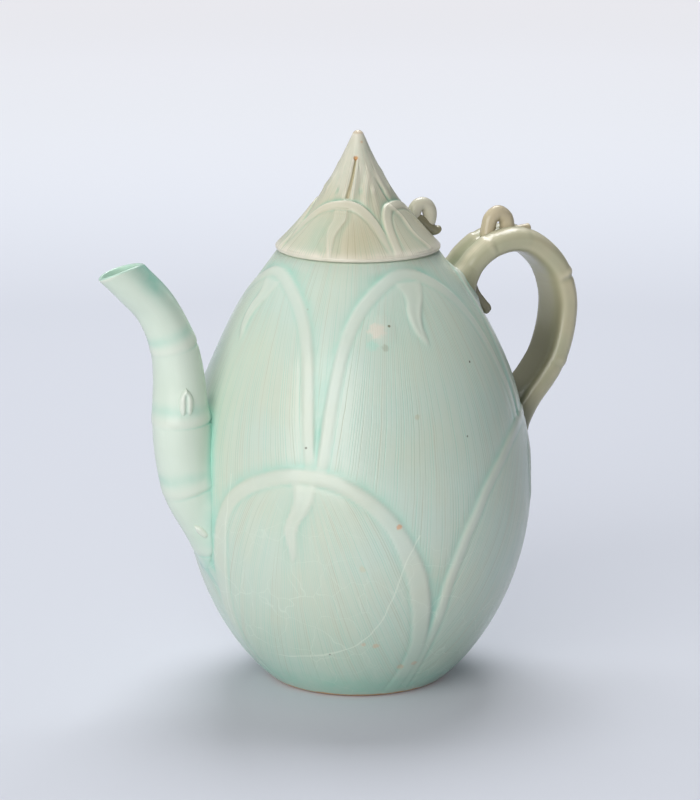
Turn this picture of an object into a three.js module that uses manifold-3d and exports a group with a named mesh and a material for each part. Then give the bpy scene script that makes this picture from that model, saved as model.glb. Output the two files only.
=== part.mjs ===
// A celadon ewer in the form of a bamboo shoot. The egg-shaped vessel carries a spout like a bamboo stalk
// and a handle of split bamboo, and its conical lid drops into the mouth with a flange. Small cord loops
// on the handle and the lid take the string that keeps the two together.
// Sizes are in millimetres and +Z is up. The origin is the centre of the flat base. The spout points to -X
// and the handle to +X, and the middle plane of both is Y = 0.
import * as THREE from 'three';
import { mergeVertices } from 'three/addons/utils/BufferGeometryUtils.js';
import Module from 'manifold-3d';

const wasm = await Module();
wasm.setup();

// Vessel: an egg that is widest at bellyHeight and ends in a flat seat for the lid.
const footRadius = 36.6;
const bellyRadius = 74.3;
const bellyHeight = 82;
const seatHeight = 186.7;
const seatRadius = 33.8;
const lowerRoundness = 1.82;
const upperRoundness = 2.17;
const bodyWall = 5;
const baseThickness = 7;
const mouthRadius = 24.8;
const neckDepth = 7;
const bodyRings = 24;
const hollowRings = 16;

// Sheaths: the leaves of the shoot, which overlap in two tiers round the vessel and have raised borders.
// Half of an outline runs from the tip down, as degrees from the middle of the sheath and a share of the
// seat's height. Each sheath has its own middle, width and lift, and the shares at which its left and
// right borders end, where they pass under a neighbour. A border's width changes evenly from tip to end.
const upperTier = {
  outline: [[0, 0.984], [17, 0.966], [31, 0.916], [39.4, 0.825], [42.6, 0.696], [45.2, 0.54]],
  borderHeight: 0.6,
  tipBorder: 5,
  endBorder: 6,
  sheaths: [
    { middle: -84.4, width: 1, lift: 0, ends: [0.565, 0.62] },
    { middle: -176, width: 1.06, lift: -0.008, ends: [0.6, 0.565] },
    { middle: 5, width: 1, lift: 0, ends: [0.62, 0.58] },
    { middle: 95, width: 1.02, lift: 0.003, ends: [0.58, 0.6] },
  ],
};
const lowerTier = {
  outline: [[0, 0.581], [15, 0.57], [29.5, 0.524], [39.4, 0.439], [46.4, 0.316], [51.8, 0.209], [57, 0.096], [61, -0.03]],
  borderHeight: 0.9,
  tipBorder: 5,
  endBorder: 8.5,
  sheaths: [
    { middle: -134.4, width: 1, lift: 0, ends: [-0.03, -0.03] },
    { middle: -31, width: 1, lift: 0.059, ends: [0.2, -0.03] },
    { middle: 52, width: 0.9, lift: 0.016, ends: [0.35, -0.03] },
    { middle: 140, width: 0.95, lift: 0.032, ends: [0.29, 0.36] },
  ],
};
const borderSlope = 0.6;
const borderSink = 2;
const borderRings = 25;

// Tongues: curling points that hang from the tips of the sheaths. Stops run down from the root, as
// degrees from the middle, a share of the seat's height and half of the tongue's width.
const tongueFlat = 0.6;
const tongueRise = 0.9;
const tongueRings = 9;
const upperTongue = [[1, 0.93, 5], [-2.1, 0.894, 3.9], [-2.2, 0.873, 3.2], [0.9, 0.834, 1.2]];
const lowerTongue = [[1.2, 0.54, 5.4], [-0.5, 0.493, 4.2], [-2.6, 0.446, 2.9], [-2.4, 0.37, 1]];
const upperTongued = [-84.4, -176, 95];

// Lid: a steep cone with a blunt tip that flares out to a thin rim. lidConeShare is the part of its
// widening that a straight cone gives, and the rest is the flare.
const lidRimRadius = 35;
const lidRimThickness = 1.7;
const lidRimRounding = 0.5;
const lidHeight = 50.6;
const lidTipRadius = 3;
const lidConeShare = 0.66;
const lidFlarePower = 2.42;
const lidWall = 4.8;
const lidRoofThickness = 12;
const flangeClearance = 0.8;
const flangeWall = 2.5;
const flangeDepth = 12;
const flangeRise = 5.6;
const lidRings = 12;
const lidCapRings = 3;
const lidRoofRings = 7;

// Spout: a tapering stalk. Each stop on its centre line has a height above the base and a distance out
// from the vessel's widest girth, so the spout follows the vessel. The first stops lie inside the wall.
const spoutStops = [
  { out: -14.3, height: 62 },
  { out: -9.3, height: 69.3 },
  { out: -4, height: 78.5 },
  { out: 2.6, height: 91 },
  { out: 6.2, height: 106 },
  { out: 7.7, height: 121.5 },
  { out: 8.1, height: 138 },
  { out: 10.8, height: 153 },
  { out: 18.2, height: 169 },
  { out: 27.6, height: 179.2 },
  { out: 32.9, height: 184.6 },
  { out: 40.2, height: 191.6 },
];
const spoutRootDiameter = 24.8;
const spoutMouthDiameter = 17.6;
const spoutWall = 3;
const spoutTaperStart = 0.35;
const spoutTaperEnd = 0.82;
const spoutMouthStop = 10;
const spoutMouthSlope = THREE.MathUtils.degToRad(15.7);
const spoutNodeHeights = [91, 121, 153];
const spoutNodeSwell = 0.8;
const spoutNodeSpread = 3;
const spoutRings = 20;
const spoutRingGap = 2;
const spoutBoreRings = 15;

// Buds on the side of the spout that faces -Y. around is the angle from there towards the outer bend, and
// turn leans the bud off the line of the spout, both in degrees.
const upperBud = { height: 129.5, around: 0, turn: 0, width: 5.6, length: 11, proud: 1.8 };
const lowerBud = { height: 78, around: 34, turn: 4, width: 4.2, length: 8, proud: 1.3 };
const budSink = 2;

// Handle: two rolls of clay with a channel between them and a flat inner side. Heights of the first two
// lists are measured down from the seat of the lid. The root's distances are measured out from the wall at
// its own height, the next ones out from the seat, and the lowest as the spout's are.
const handleRootStops = [
  { out: -9.8, below: 24 },
  { out: 5.2, below: 12.6 },
  { out: 13.1, below: 7.1 },
];
const handleUpperStops = [
  { out: 24.8, below: 2.3 },
  { out: 31.2, below: -0.7 },
  { out: 37.7, below: -1.7 },
  { out: 45.2, below: -0.1 },
  { out: 53.1, below: 5.4 },
  { out: 58.8, below: 12.3 },
];
const handleLowerStops = [
  { out: 21.4, height: 165.6 },
  { out: 23, height: 157.6 },
  { out: 22.6, height: 149 },
  { out: 20.7, height: 140.6 },
  { out: 17.3, height: 132 },
  { out: 12, height: 124 },
  { out: 5.7, height: 116.4 },
  { out: 1, height: 108.6 },
  { out: -2.6, height: 100 },
  { out: -5.8, height: 91 },
];
const handleWidth = 22.6;
const handleThickness = 9.6;
const handleChannelDepth = 2.6;
const handleChannelWidth = 2.6;
const handleOuterRounding = 0.72;
const handleInnerRounding = 0.4;
const handleFlare = 1.25;
const handleFlareLength = 0.1;
const handleRings = 34;

// Tongue below the upper end of the handle: from where it leaves the handle to its blunt tip, measured
// as the root of the handle is.
const tongueStops = [
  { out: 4.4, below: 18.3 },
  { out: 3.3, below: 22.3 },
  { out: 5.4, below: 31.6 },
];
const tongueWidth = 14;
const tongueTipWidth = 9;
const tongueThickness = 3.4;
const tongueTipThickness = 4.6;

// Loops: clay rolls bent over a small eye. The one on the handle, and the nub beside it, stand where the
// handle is that far out from the seat of the lid. An arch rises straight to archShoulder of its height
// and has drawn in to archDraw of its width at archHaunch of its height.
const archShoulder = 0.35;
const archHaunch = 0.82;
const archDraw = 0.6;
const handleLoopOut = 32.2;
const handleLoopEyeWidth = 3.6;
const handleLoopEyeHeight = 6.8;
const handleLoopSideThickness = 6.2;
const handleLoopTopThickness = 4;
const handleLoopDepth = 5.8;
const handleLoopSink = 5;
const handleNubOut = 46.2;
const handleNubLength = 5;
const handleNubThickness = 3.4;
const handleNubTail = { thickness: 1, width: 2 };
const lidLoopRoot = { out: -11.2, up: 9.4 };
const lidLoopTop = { out: -5.4, up: 17.2 };
const lidLoopEnd = { out: 0.7, up: 7.6 };
const lidLoopShoulder = 4.4;
const lidLoopShoulderDrop = 4.5;
const lidLoopThickness = 5;
const lidLoopDepth = 5.2;
const lidTailRoot = { out: -11, up: 11 };
const lidTailMiddle = { out: -3, up: 7.6 };
const lidTailTip = { out: 3.2, up: 5 };
const lidTailThickness = 3;
const lidTailTipThickness = 4.8;
const lidTailWidth = 5.6;

// Gap that the slip fills between two pieces that are luted together.
const luteGap = 0.3;

// Facets round each piece, and the number of tries in a search along a curve.
const bodyFacets = 54;
const lidFacets = 44;
const spoutFacets = 20;
const handleFacets = 22;
const loopFacets = 10;
const budFacets = 5;
const loopRings = 18;
const tailRings = 8;
const searchSteps = 401;

// How far a cutting shape runs past what it cuts.
const cutPast = 5;

// Outer radius of the vessel at a height: a rounded quarter below the belly and a power curve above it.
function bodyRadius(height) {
  if (height < bellyHeight) {
    const down = (bellyHeight - height) / bellyHeight;
    const shrink = bellyRadius ** 2 - footRadius ** 2;
    return Math.sqrt(bellyRadius ** 2 - shrink * down ** lowerRoundness);
  }
  const up = (height - bellyHeight) / (seatHeight - bellyHeight);
  return bellyRadius - (bellyRadius - seatRadius) * up ** upperRoundness;
}

// How fast a radius grows with height.
function slopeOf(radiusAt, height) {
  const step = 0.5;
  return (radiusAt(height + step / 2) - radiusAt(height - step / 2)) / step;
}

// How much longer a level cut through a wall is than the cut square to its surface.
function levelStretch(radiusAt, height) {
  return Math.sqrt(1 + slopeOf(radiusAt, height) ** 2);
}

const lidCapBase = lidHeight - lidTipRadius;

// Outer radius of the lid at a height above the seat, from the top of its rim to the base of its tip.
function lidRadius(up) {
  const down = Math.min(1, (lidCapBase - up) / (lidCapBase - lidRimThickness));
  const widening = lidConeShare * down + (1 - lidConeShare) * down ** lidFlarePower;
  return lidTipRadius + (lidRimRadius - lidTipRadius) * widening;
}

// Evenly spaced numbers from first to last, both included.
function spread(first, last, count) {
  return Array.from({ length: count }, (_, i) => {
    const share = i / (count - 1);
    return first * (1 - share) + last * share;
  });
}

// Turns a closed geometry into a solid: shared corners are merged, and triangles that have collapsed to
// a line at a pole are dropped.
function solidOf(geometry) {
  const bare = geometry.clone();
  bare.deleteAttribute('normal');
  bare.deleteAttribute('uv');
  const merged = mergeVertices(bare, 1e-4);
  const index = merged.index.array;
  const kept = [];
  for (let i = 0; i < index.length; i += 3) {
    const [a, b, c] = [index[i], index[i + 1], index[i + 2]];
    if (a !== b && b !== c && c !== a) {
      kept.push(a, b, c);
    }
  }
  return new wasm.Manifold(new wasm.Mesh({
    numProp: 3,
    vertProperties: new Float32Array(merged.attributes.position.array),
    triVerts: new Uint32Array(kept),
  }));
}

// Turns a solid back into a geometry.
function geometryOf(solid) {
  const mesh = solid.getMesh();
  const geometry = new THREE.BufferGeometry();
  geometry.setAttribute('position', new THREE.Float32BufferAttribute(mesh.vertProperties, 3));
  geometry.setIndex(Array.from(mesh.triVerts));
  geometry.computeVertexNormals();
  return geometry;
}

// Spins a profile of [radius, height] pairs about the Z axis. The profile runs from the bottom up on the
// outside, so that the faces point outwards.
function spin(profile, facets) {
  const points = profile.map(([radius, height]) => new THREE.Vector2(radius, height));
  return solidOf(new THREE.LatheGeometry(points, facets).rotateX(Math.PI / 2));
}

// A smooth curve through [x, z] pairs in the middle plane.
function planeCurve(pairs) {
  return new THREE.CatmullRomCurve3(pairs.map(([x, z]) => new THREE.Vector3(x, 0, z)), false, 'centripetal');
}

// The direction in the middle plane that lies square to a curve, on its left as it runs.
function leftOf(curve, place) {
  const along = curve.getTangentAt(place);
  return new THREE.Vector3(-along.z, 0, along.x);
}

// The place along a curve, from 0 to 1, that measure(point) maps to the value nearest to the target.
function placeWhere(curve, measure, target, first = 0, last = 1) {
  const places = spread(first, last, searchSteps);
  const errors = places.map((place) => Math.abs(measure(curve.getPointAt(place)) - target));
  return places[errors.indexOf(Math.min(...errors))];
}

// Joins rings of corners into a closed solid. section holds the corners of the first ring in its own
// plane, and is used to close both ends.
function joinRings(rings, section) {
  const sides = section.length;
  const triangles = [];
  for (let ring = 0; ring < rings.length - 1; ring += 1) {
    for (let side = 0; side < sides; side += 1) {
      const here = ring * sides + side;
      const next = ring * sides + ((side + 1) % sides);
      triangles.push(here, next + sides, next, here, here + sides, next + sides);
    }
  }
  const lastRing = (rings.length - 1) * sides;
  for (const [a, b, c] of THREE.ShapeUtils.triangulateShape(section, [])) {
    triangles.push(a, b, c);
    triangles.push(lastRing + a, lastRing + c, lastRing + b);
  }
  const geometry = new THREE.BufferGeometry().setFromPoints(rings.flat());
  geometry.setIndex(triangles);
  return solidOf(geometry);
}

// Carries a section along a curve in the middle plane. sectionAt(place) gives its corners, with x to the
// left of the curve and y across the plane, in the same order and number everywhere.
function sweep(curve, places, sectionAt) {
  const across = new THREE.Vector3(0, 1, 0);
  const rings = places.map((place) => {
    const centre = curve.getPointAt(place);
    const left = leftOf(curve, place);
    return sectionAt(place).map((corner) => {
      return centre.clone().addScaledVector(left, corner.x).addScaledVector(across, corner.y);
    });
  });
  return joinRings(rings, sectionAt(places[0]));
}

// Corners of an oval section, sizes given as full widths.
function oval(thickness, width, facets) {
  return Array.from({ length: facets }, (_, i) => {
    const angle = (2 * Math.PI * i) / facets;
    return new THREE.Vector2((thickness / 2) * Math.cos(angle), (width / 2) * Math.sin(angle));
  });
}

// The vessel's outer form without its hollow, grown by the given amount.
function bodyForm(grow) {
  const heights = spread(0, seatHeight, bodyRings);
  const side = heights.map((height) => {
    return [bodyRadius(height) + grow * levelStretch(bodyRadius, Math.min(height, seatHeight - 1)), height];
  });
  return spin([[0, -grow], [side[0][0], -grow], ...side, [0, seatHeight]], bodyFacets);
}

// A rib on the skin of the vessel. A stop has an angle in degrees, a height and the corners of its
// section, with x along the skin to the right of the path, seen from outside, and y out of the wall.
function skinRib(stops) {
  const points = stops.map(({ angle, height }) => {
    const turn = THREE.MathUtils.degToRad(angle);
    const radius = bodyRadius(height);
    return new THREE.Vector3(radius * Math.cos(turn), radius * Math.sin(turn), height);
  });
  const rings = stops.map(({ height, section }, i) => {
    const before = points[Math.max(i - 1, 0)];
    const after = points[Math.min(i + 1, points.length - 1)];
    const out = new THREE.Vector3(points[i].x, points[i].y, 0).normalize();
    out.setZ(-slopeOf(bodyRadius, height)).normalize();
    const right = new THREE.Vector3().subVectors(after, before).cross(out).normalize();
    return section.map(([x, y]) => points[i].clone().addScaledVector(right, x).addScaledVector(out, y));
  });
  return joinRings(rings, stops[0].section.map(([x, y]) => new THREE.Vector2(x, y)));
}

// The raised border of a sheath, from the end of its left side over the tip to the end of its right.
function sheathBorder(tier, sheath, grow) {
  const half = tier.outline.map(([degrees, share]) => [degrees * sheath.width, share + sheath.lift]);
  const outline = [...half.slice(1).reverse().map(([degrees, share]) => [-degrees, share]), ...half];
  const curve = planeCurve(outline.map(([degrees, share]) => [degrees, share * seatHeight]));
  const [tip, end] = [half[0][1] * seatHeight, half[half.length - 1][1] * seatHeight];
  const isLeft = (point) => point.x < 0;
  const first = placeWhere(curve, (point) => (isLeft(point) ? point.z : tip), sheath.ends[0] * seatHeight);
  const last = placeWhere(curve, (point) => (isLeft(point) ? tip : point.z), sheath.ends[1] * seatHeight);
  return skinRib(spread(first, last, borderRings).map((place) => {
    const { x, z } = curve.getPointAt(place);
    const width = tier.tipBorder + ((tier.endBorder - tier.tipBorder) * (tip - z)) / (tip - end);
    const [wide, narrow, top] = [borderSlope + grow, borderSlope - grow, tier.borderHeight + grow];
    const section = [[width + wide, -borderSink], [width - narrow, top], [narrow, top], [-wide, -borderSink]];
    return { angle: sheath.middle + x, height: z, section };
  }));
}

// The tongue that hangs from the tip of a sheath.
function sheathTongue(stops, sheath, grow) {
  const curve = new THREE.CatmullRomCurve3(stops.map(([degrees, share, halfWidth]) => {
    return new THREE.Vector3(degrees, halfWidth, (share + sheath.lift) * seatHeight);
  }), false, 'centripetal');
  return skinRib(spread(0, 1, tongueRings).map((place) => {
    const { x, y, z } = curve.getPointAt(place);
    const [edge, flat, top] = [y + grow, y * tongueFlat + grow, tongueRise + grow];
    const section = [[edge, -borderSink], [flat, top], [-flat, top], [-edge, -borderSink]];
    return { angle: sheath.middle + x, height: z, section };
  }));
}

// The vessel's outer form with its sheaths, cut flat at the base.
function carvedForm(grow) {
  const borders = [upperTier, lowerTier].flatMap((tier) => {
    return tier.sheaths.map((sheath) => sheathBorder(tier, sheath, grow));
  });
  const tongues = [
    ...upperTier.sheaths.filter(({ middle }) => upperTongued.includes(middle))
      .map((sheath) => sheathTongue(upperTongue, sheath, grow)),
    ...lowerTier.sheaths.map((sheath) => sheathTongue(lowerTongue, sheath, grow)),
  ];
  return wasm.Manifold.union([bodyForm(grow), ...borders, ...tongues]).trimByPlane([0, 0, 1], -grow);
}

// The hollow of the vessel, from its floor to the bore of the mouth.
function bodyHollow() {
  const inner = (height) => bodyRadius(height) - bodyWall * levelStretch(bodyRadius, height);
  const neckBottom = seatHeight - neckDepth;
  const heights = spread(baseThickness, neckBottom - neckDepth, hollowRings);
  const side = heights.map((height) => [inner(height), height]);
  return spin([
    [0, baseThickness],
    ...side,
    [mouthRadius, neckBottom],
    [mouthRadius, seatHeight + cutPast],
    [0, seatHeight + cutPast],
  ], bodyFacets);
}

// The lid's outer form without its hollow, grown by the given amount.
function lidForm(grow) {
  const flank = spread(lidRimThickness, lidCapBase, lidRings).map((up) => {
    return [lidRadius(up) + grow, seatHeight + up];
  });
  const cap = spread(0, Math.PI / 2, lidCapRings + 2).slice(1, -1).map((angle) => {
    const size = lidTipRadius + grow;
    return [size * Math.cos(angle), seatHeight + lidCapBase + size * Math.sin(angle)];
  });
  return spin([
    [0, seatHeight - grow],
    [lidRimRadius - lidRimRounding + grow, seatHeight - grow],
    [lidRimRadius + grow, seatHeight + lidRimRounding],
    ...flank,
    ...cap,
    [0, seatHeight + lidHeight + grow],
  ], lidFacets);
}

const flangeOuterRadius = mouthRadius - flangeClearance;
const flangeInnerRadius = flangeOuterRadius - flangeWall;

// The hollow of the lid. A level step inside it is the face that the flange is luted to.
function lidHollow() {
  const inner = (up) => lidRadius(up) - lidWall;
  const stepRadius = flangeOuterRadius + luteGap;
  const stepUp = flangeRise;
  const top = lidHeight - lidRoofThickness;
  const roofStart = placeWhereRadius(inner, flangeInnerRadius);
  const roof = spread(roofStart, top, lidRoofRings).map((up) => [inner(up), seatHeight + up]);
  return spin([
    [0, seatHeight - cutPast],
    [inner(0), seatHeight - cutPast],
    [inner(0), seatHeight],
    [Math.max(stepRadius, inner(stepUp)), seatHeight + stepUp],
    [flangeInnerRadius, seatHeight + stepUp],
    ...roof,
    [0, seatHeight + top + inner(top) / 2],
  ], lidFacets);
}

// The height above the seat at which a shrinking radius comes down to the target.
function placeWhereRadius(radiusAt, target) {
  const ups = spread(0, lidHeight, searchSteps);
  return ups.find((up) => radiusAt(up) <= target);
}

const spoutCurve = planeCurve(spoutStops.map(({ out, height }) => [-bellyRadius - out, height]));
const spoutNodePlaces = spoutNodeHeights.map((height) => placeWhere(spoutCurve, (point) => point.z, height));
const spoutLength = spoutCurve.getLength();

// Diameter of the spout along its curve: a smooth taper with a low swelling at each bamboo node.
function spoutDiameter(place) {
  const taper = THREE.MathUtils.smoothstep(place, spoutTaperStart, spoutTaperEnd);
  const plain = spoutRootDiameter + (spoutMouthDiameter - spoutRootDiameter) * taper;
  const swell = spoutNodePlaces.reduce((sum, node) => {
    const away = ((place - node) * spoutLength) / spoutNodeSpread;
    return sum + spoutNodeSwell * Math.exp(-(away ** 2));
  }, 0);
  return plain + 2 * swell;
}

// Places along the spout, closer together at the nodes.
function spoutPlaces() {
  const even = spread(0, 1, spoutRings);
  const atNodes = spoutNodePlaces.flatMap((node) => {
    return [-1, 0, 1].map((side) => node + (side * spoutNodeSpread) / spoutLength);
  });
  const least = spoutRingGap / spoutLength;
  const clear = even.filter((place) => atNodes.every((other) => Math.abs(other - place) > least));
  return [...clear, ...atNodes].sort((a, b) => a - b);
}

function spoutForm(grow) {
  return sweep(spoutCurve, spoutPlaces(), (place) => {
    const size = spoutDiameter(place) + 2 * grow;
    return oval(size, size, spoutFacets);
  });
}

// The bore of the spout, which runs on through the wall of the vessel into its hollow.
function spoutBore() {
  return sweep(spoutCurve, spread(0, 1, spoutBoreRings), (place) => {
    const taper = THREE.MathUtils.smoothstep(place, spoutTaperStart, spoutTaperEnd);
    const size = spoutRootDiameter + (spoutMouthDiameter - spoutRootDiameter) * taper - 2 * spoutWall;
    return oval(size, size, spoutFacets);
  });
}

// Everything above the slanting cut of the spout's mouth.
function aboveSpoutMouth() {
  const block = 3 * spoutRootDiameter;
  const mouth = spoutStops[spoutMouthStop];
  const box = new THREE.BoxGeometry(block, block, block).translate(0, 0, block / 2);
  box.rotateY(-spoutMouthSlope);
  box.translate(-bellyRadius - mouth.out, 0, mouth.height);
  return solidOf(box);
}

// A bud: a pointed arch raised square to the skin of the spout.
function budForm(bud) {
  const place = placeWhere(spoutCurve, (point) => point.z, bud.height);
  const around = THREE.MathUtils.degToRad(bud.around);
  const front = new THREE.Vector3(0, -Math.cos(around), 0);
  const out = leftOf(spoutCurve, place).multiplyScalar(Math.sin(around)).add(front);
  const upward = spoutCurve.getTangentAt(place).applyAxisAngle(out, THREE.MathUtils.degToRad(bud.turn));
  const across = new THREE.Vector3().crossVectors(upward, out);
  const start = spoutCurve.getPointAt(place).addScaledVector(out, spoutDiameter(place) / 2 - budSink);
  const half = bud.width / 2;
  const arch = new THREE.Shape();
  arch.moveTo(-half, -bud.length / 2);
  arch.lineTo(half, -bud.length / 2);
  arch.lineTo(half, 0);
  arch.quadraticCurveTo(half, bud.length / 3, 0, bud.length / 2);
  arch.quadraticCurveTo(-half, bud.length / 3, -half, 0);
  const depth = budSink + bud.proud;
  const slab = new THREE.ExtrudeGeometry(arch, { depth, bevelEnabled: false, curveSegments: budFacets });
  return solidOf(slab.applyMatrix4(new THREE.Matrix4().makeBasis(across, upward, out).setPosition(start)));
}

// A stop that is measured out from the wall at its own height.
function wallStop({ out, below }) {
  const height = seatHeight - below;
  return [bodyRadius(height) + out, height];
}

const handleCurve = planeCurve([
  ...handleRootStops.map(wallStop),
  ...handleUpperStops.map(({ out, below }) => [seatRadius + out, seatHeight - below]),
  ...handleLowerStops.map(({ out, height }) => [bellyRadius + out, height]),
]);

// Section of the handle: a squarish oval with the channel pressed into its outer side. The rolls spread
// where the handle meets the vessel.
function handleSection(place, grow) {
  const edge = Math.max(0, 1 - Math.min(place, 1 - place) / handleFlareLength);
  const flare = 1 + (handleFlare - 1) * edge;
  return Array.from({ length: handleFacets }, (_, i) => {
    const angle = (2 * Math.PI * (i + 0.5)) / handleFacets;
    const outside = Math.cos(angle) > 0;
    const rounding = outside ? handleOuterRounding : handleInnerRounding;
    const rounded = (value) => Math.sign(value) * Math.abs(value) ** rounding;
    const across = (handleWidth / 2) * flare * rounded(Math.sin(angle));
    const channel = handleChannelDepth * Math.exp(-((across / handleChannelWidth) ** 2));
    const outward = (handleThickness / 2) * flare * rounded(Math.cos(angle)) - (outside ? channel : 0);
    const length = Math.hypot(outward, across);
    return new THREE.Vector2(outward * (1 + grow / length), across * (1 + grow / length));
  });
}

function handleForm(grow) {
  return sweep(handleCurve, spread(0, 1, handleRings), (place) => handleSection(place, grow));
}

// A tapering strip along a curve, from one thickness and width to another.
function strip(curve, steps, thickness, width, facets) {
  const between = (pair, place) => pair[0] + (pair[1] - pair[0]) * place;
  return sweep(curve, spread(0, 1, steps), (place) => {
    return oval(between(thickness, place), between(width, place), facets);
  });
}

function tongueForm() {
  const curve = planeCurve(tongueStops.map(wallStop));
  const thickness = [tongueThickness, tongueTipThickness];
  return strip(curve, tailRings, thickness, [tongueWidth, tongueTipWidth], loopFacets);
}

// The point on the upper run of the handle, before its outermost bend, that lies that far out from the
// seat of the lid. The bend is where the curve comes nearest to a line well outside it.
function handlePoint(out) {
  const outermost = placeWhere(handleCurve, (point) => point.x, 2 * bellyRadius);
  const place = placeWhere(handleCurve, (point) => point.x, seatRadius + out, 0, outermost);
  return handleCurve.getPointAt(place);
}

// An arch of clay over a small eye, standing in the channel of the handle.
function handleLoopForm() {
  const foot = handlePoint(handleLoopOut);
  const floor = foot.z + handleThickness / 2 - handleChannelDepth;
  const half = (handleLoopEyeWidth + handleLoopSideThickness) / 2;
  const rise = handleLoopEyeHeight + handleLoopTopThickness / 2;
  const curve = planeCurve([
    [foot.x - half, floor - handleLoopSink],
    [foot.x - half, floor + rise * archShoulder],
    [foot.x - half * archDraw, floor + rise * archHaunch],
    [foot.x, floor + rise],
    [foot.x + half * archDraw, floor + rise * archHaunch],
    [foot.x + half, floor + rise * archShoulder],
    [foot.x + half, floor - handleLoopSink],
  ]);
  return sweep(curve, spread(0, 1, loopRings), (place) => {
    const top = Math.sin(Math.PI * place) ** 2;
    const thickness = handleLoopSideThickness + (handleLoopTopThickness - handleLoopSideThickness) * top;
    return oval(thickness, handleLoopDepth, loopFacets);
  });
}

function handleNubForm() {
  const foot = handlePoint(handleNubOut);
  const floor = foot.z + handleThickness / 2 - handleChannelDepth / 2;
  const curve = planeCurve([
    [foot.x - handleNubLength, floor + handleNubThickness / 4],
    [foot.x, floor + handleNubThickness / 3],
    [foot.x + handleNubLength / 5, floor + handleNubThickness / 2],
  ]);
  const thickness = [handleNubTail.thickness, handleNubThickness];
  const width = [handleNubTail.width, handleNubThickness];
  return strip(curve, tailRings, thickness, width, loopFacets);
}

const lidStop = ({ out, up }) => [lidRimRadius + out, seatHeight + up];

function lidTailForm(grow) {
  const curve = planeCurve([lidStop(lidTailRoot), lidStop(lidTailMiddle), lidStop(lidTailTip)]);
  const thickness = [lidTailThickness + 2 * grow, lidTailTipThickness + 2 * grow];
  return strip(curve, tailRings, thickness, [lidTailWidth + 2 * grow, lidTailWidth + 2 * grow], loopFacets);
}

function lidLoopForm() {
  const [topX, topZ] = lidStop(lidLoopTop);
  const curve = planeCurve([
    lidStop(lidLoopRoot),
    [topX - lidLoopShoulder, topZ - lidLoopShoulderDrop],
    [topX, topZ],
    [topX + lidLoopShoulder, topZ - lidLoopShoulderDrop],
    lidStop(lidLoopEnd),
  ]);
  return strip(curve, loopRings, [lidLoopThickness, lidLoopThickness], [lidLoopDepth, lidLoopDepth], loopFacets);
}

// Flange: a plain ring from the step inside the lid down into the mouth.
function flangeForm() {
  const top = seatHeight + flangeRise;
  const bottom = seatHeight - flangeDepth;
  return spin([
    [flangeInnerRadius, bottom],
    [flangeOuterRadius, bottom],
    [flangeOuterRadius, top],
    [flangeInnerRadius, top],
    [flangeInnerRadius, bottom],
  ], lidFacets);
}

const grownBody = carvedForm(luteGap);
const grownSpout = spoutForm(luteGap);
const grownHandle = handleForm(luteGap);
const grownLid = lidForm(luteGap);
const grownLidTail = lidTailForm(luteGap);

const solids = {
  body: carvedForm(0).subtract(bodyHollow()).subtract(spoutBore()),
  spout: spoutForm(0).subtract(aboveSpoutMouth()).subtract(grownBody).subtract(spoutBore()),
  spout_bud_upper: budForm(upperBud).subtract(grownSpout),
  spout_bud_lower: budForm(lowerBud).subtract(grownSpout).subtract(grownBody),
  handle: handleForm(0).subtract(grownBody),
  handle_tongue: tongueForm().subtract(grownHandle).subtract(grownBody),
  handle_loop: handleLoopForm().subtract(grownHandle),
  handle_loop_tail: handleNubForm().subtract(grownHandle),
  lid: lidForm(0).subtract(lidHollow()),
  lid_flange: flangeForm(),
  lid_loop: lidLoopForm().subtract(grownLid).subtract(grownLidTail),
  lid_loop_tail: lidTailForm(0).subtract(grownLid),
};

// Celadon glaze by area: blue-green on the vessel, greyer on the lid and olive on the handle.
const glazeColours = {
  body: '#c2d0c1',
  spout: '#cddbc9',
  handle: '#a9a58e',
  lid: '#c0c2ac',
};
const looseColours = {
  handle_loop: '#c2b69c',
  handle_loop_tail: '#c2b69c',
  lid_loop: '#b5b0a1',
  lid_loop_tail: '#a8a394',
};

function glazeFor(name) {
  const area = Object.keys(glazeColours).find((start) => name.startsWith(start));
  return new THREE.MeshStandardMaterial({
    color: looseColours[name] ?? glazeColours[area],
    roughness: 0.25,
    metalness: 0,
  });
}

const ewer = new THREE.Group();
for (const [name, solid] of Object.entries(solids)) {
  const mesh = new THREE.Mesh(geometryOf(solid), glazeFor(name));
  mesh.name = name;
  ewer.add(mesh);
}

export default ewer;
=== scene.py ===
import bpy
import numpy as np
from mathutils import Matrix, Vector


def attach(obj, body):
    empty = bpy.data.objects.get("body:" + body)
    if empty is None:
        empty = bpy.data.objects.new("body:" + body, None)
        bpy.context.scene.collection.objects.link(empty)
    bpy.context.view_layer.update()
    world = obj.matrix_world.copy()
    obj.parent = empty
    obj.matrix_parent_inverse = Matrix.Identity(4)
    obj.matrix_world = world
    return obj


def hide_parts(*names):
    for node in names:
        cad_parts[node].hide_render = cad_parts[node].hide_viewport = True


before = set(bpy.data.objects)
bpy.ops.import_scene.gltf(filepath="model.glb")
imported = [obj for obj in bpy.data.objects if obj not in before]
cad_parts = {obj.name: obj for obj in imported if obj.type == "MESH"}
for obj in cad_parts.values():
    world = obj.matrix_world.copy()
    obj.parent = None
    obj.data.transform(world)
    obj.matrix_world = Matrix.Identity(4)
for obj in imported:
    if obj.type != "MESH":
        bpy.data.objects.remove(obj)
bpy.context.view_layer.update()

# %% [markdown]
# A celadon ewer in the form of a bamboo shoot. The frame that was just loaded holds the plain solids,
# which say where each piece is and how large it may be. This lesson gives every one of them its
# hand-made form and its glaze.

# %% [markdown]
# Clay pieces are shaped in millimetres here, because that is how a potter measures them, and turned into
# metres when a mesh is made. Every piece is a surface on a grid: rows run along it and columns go round
# it. A solid lump ends in a point at both ends, and a ring closes on itself. The sum of the small
# pyramids between the faces and the origin gives the volume, and if that comes out negative, the faces
# look inwards and are turned.

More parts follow.
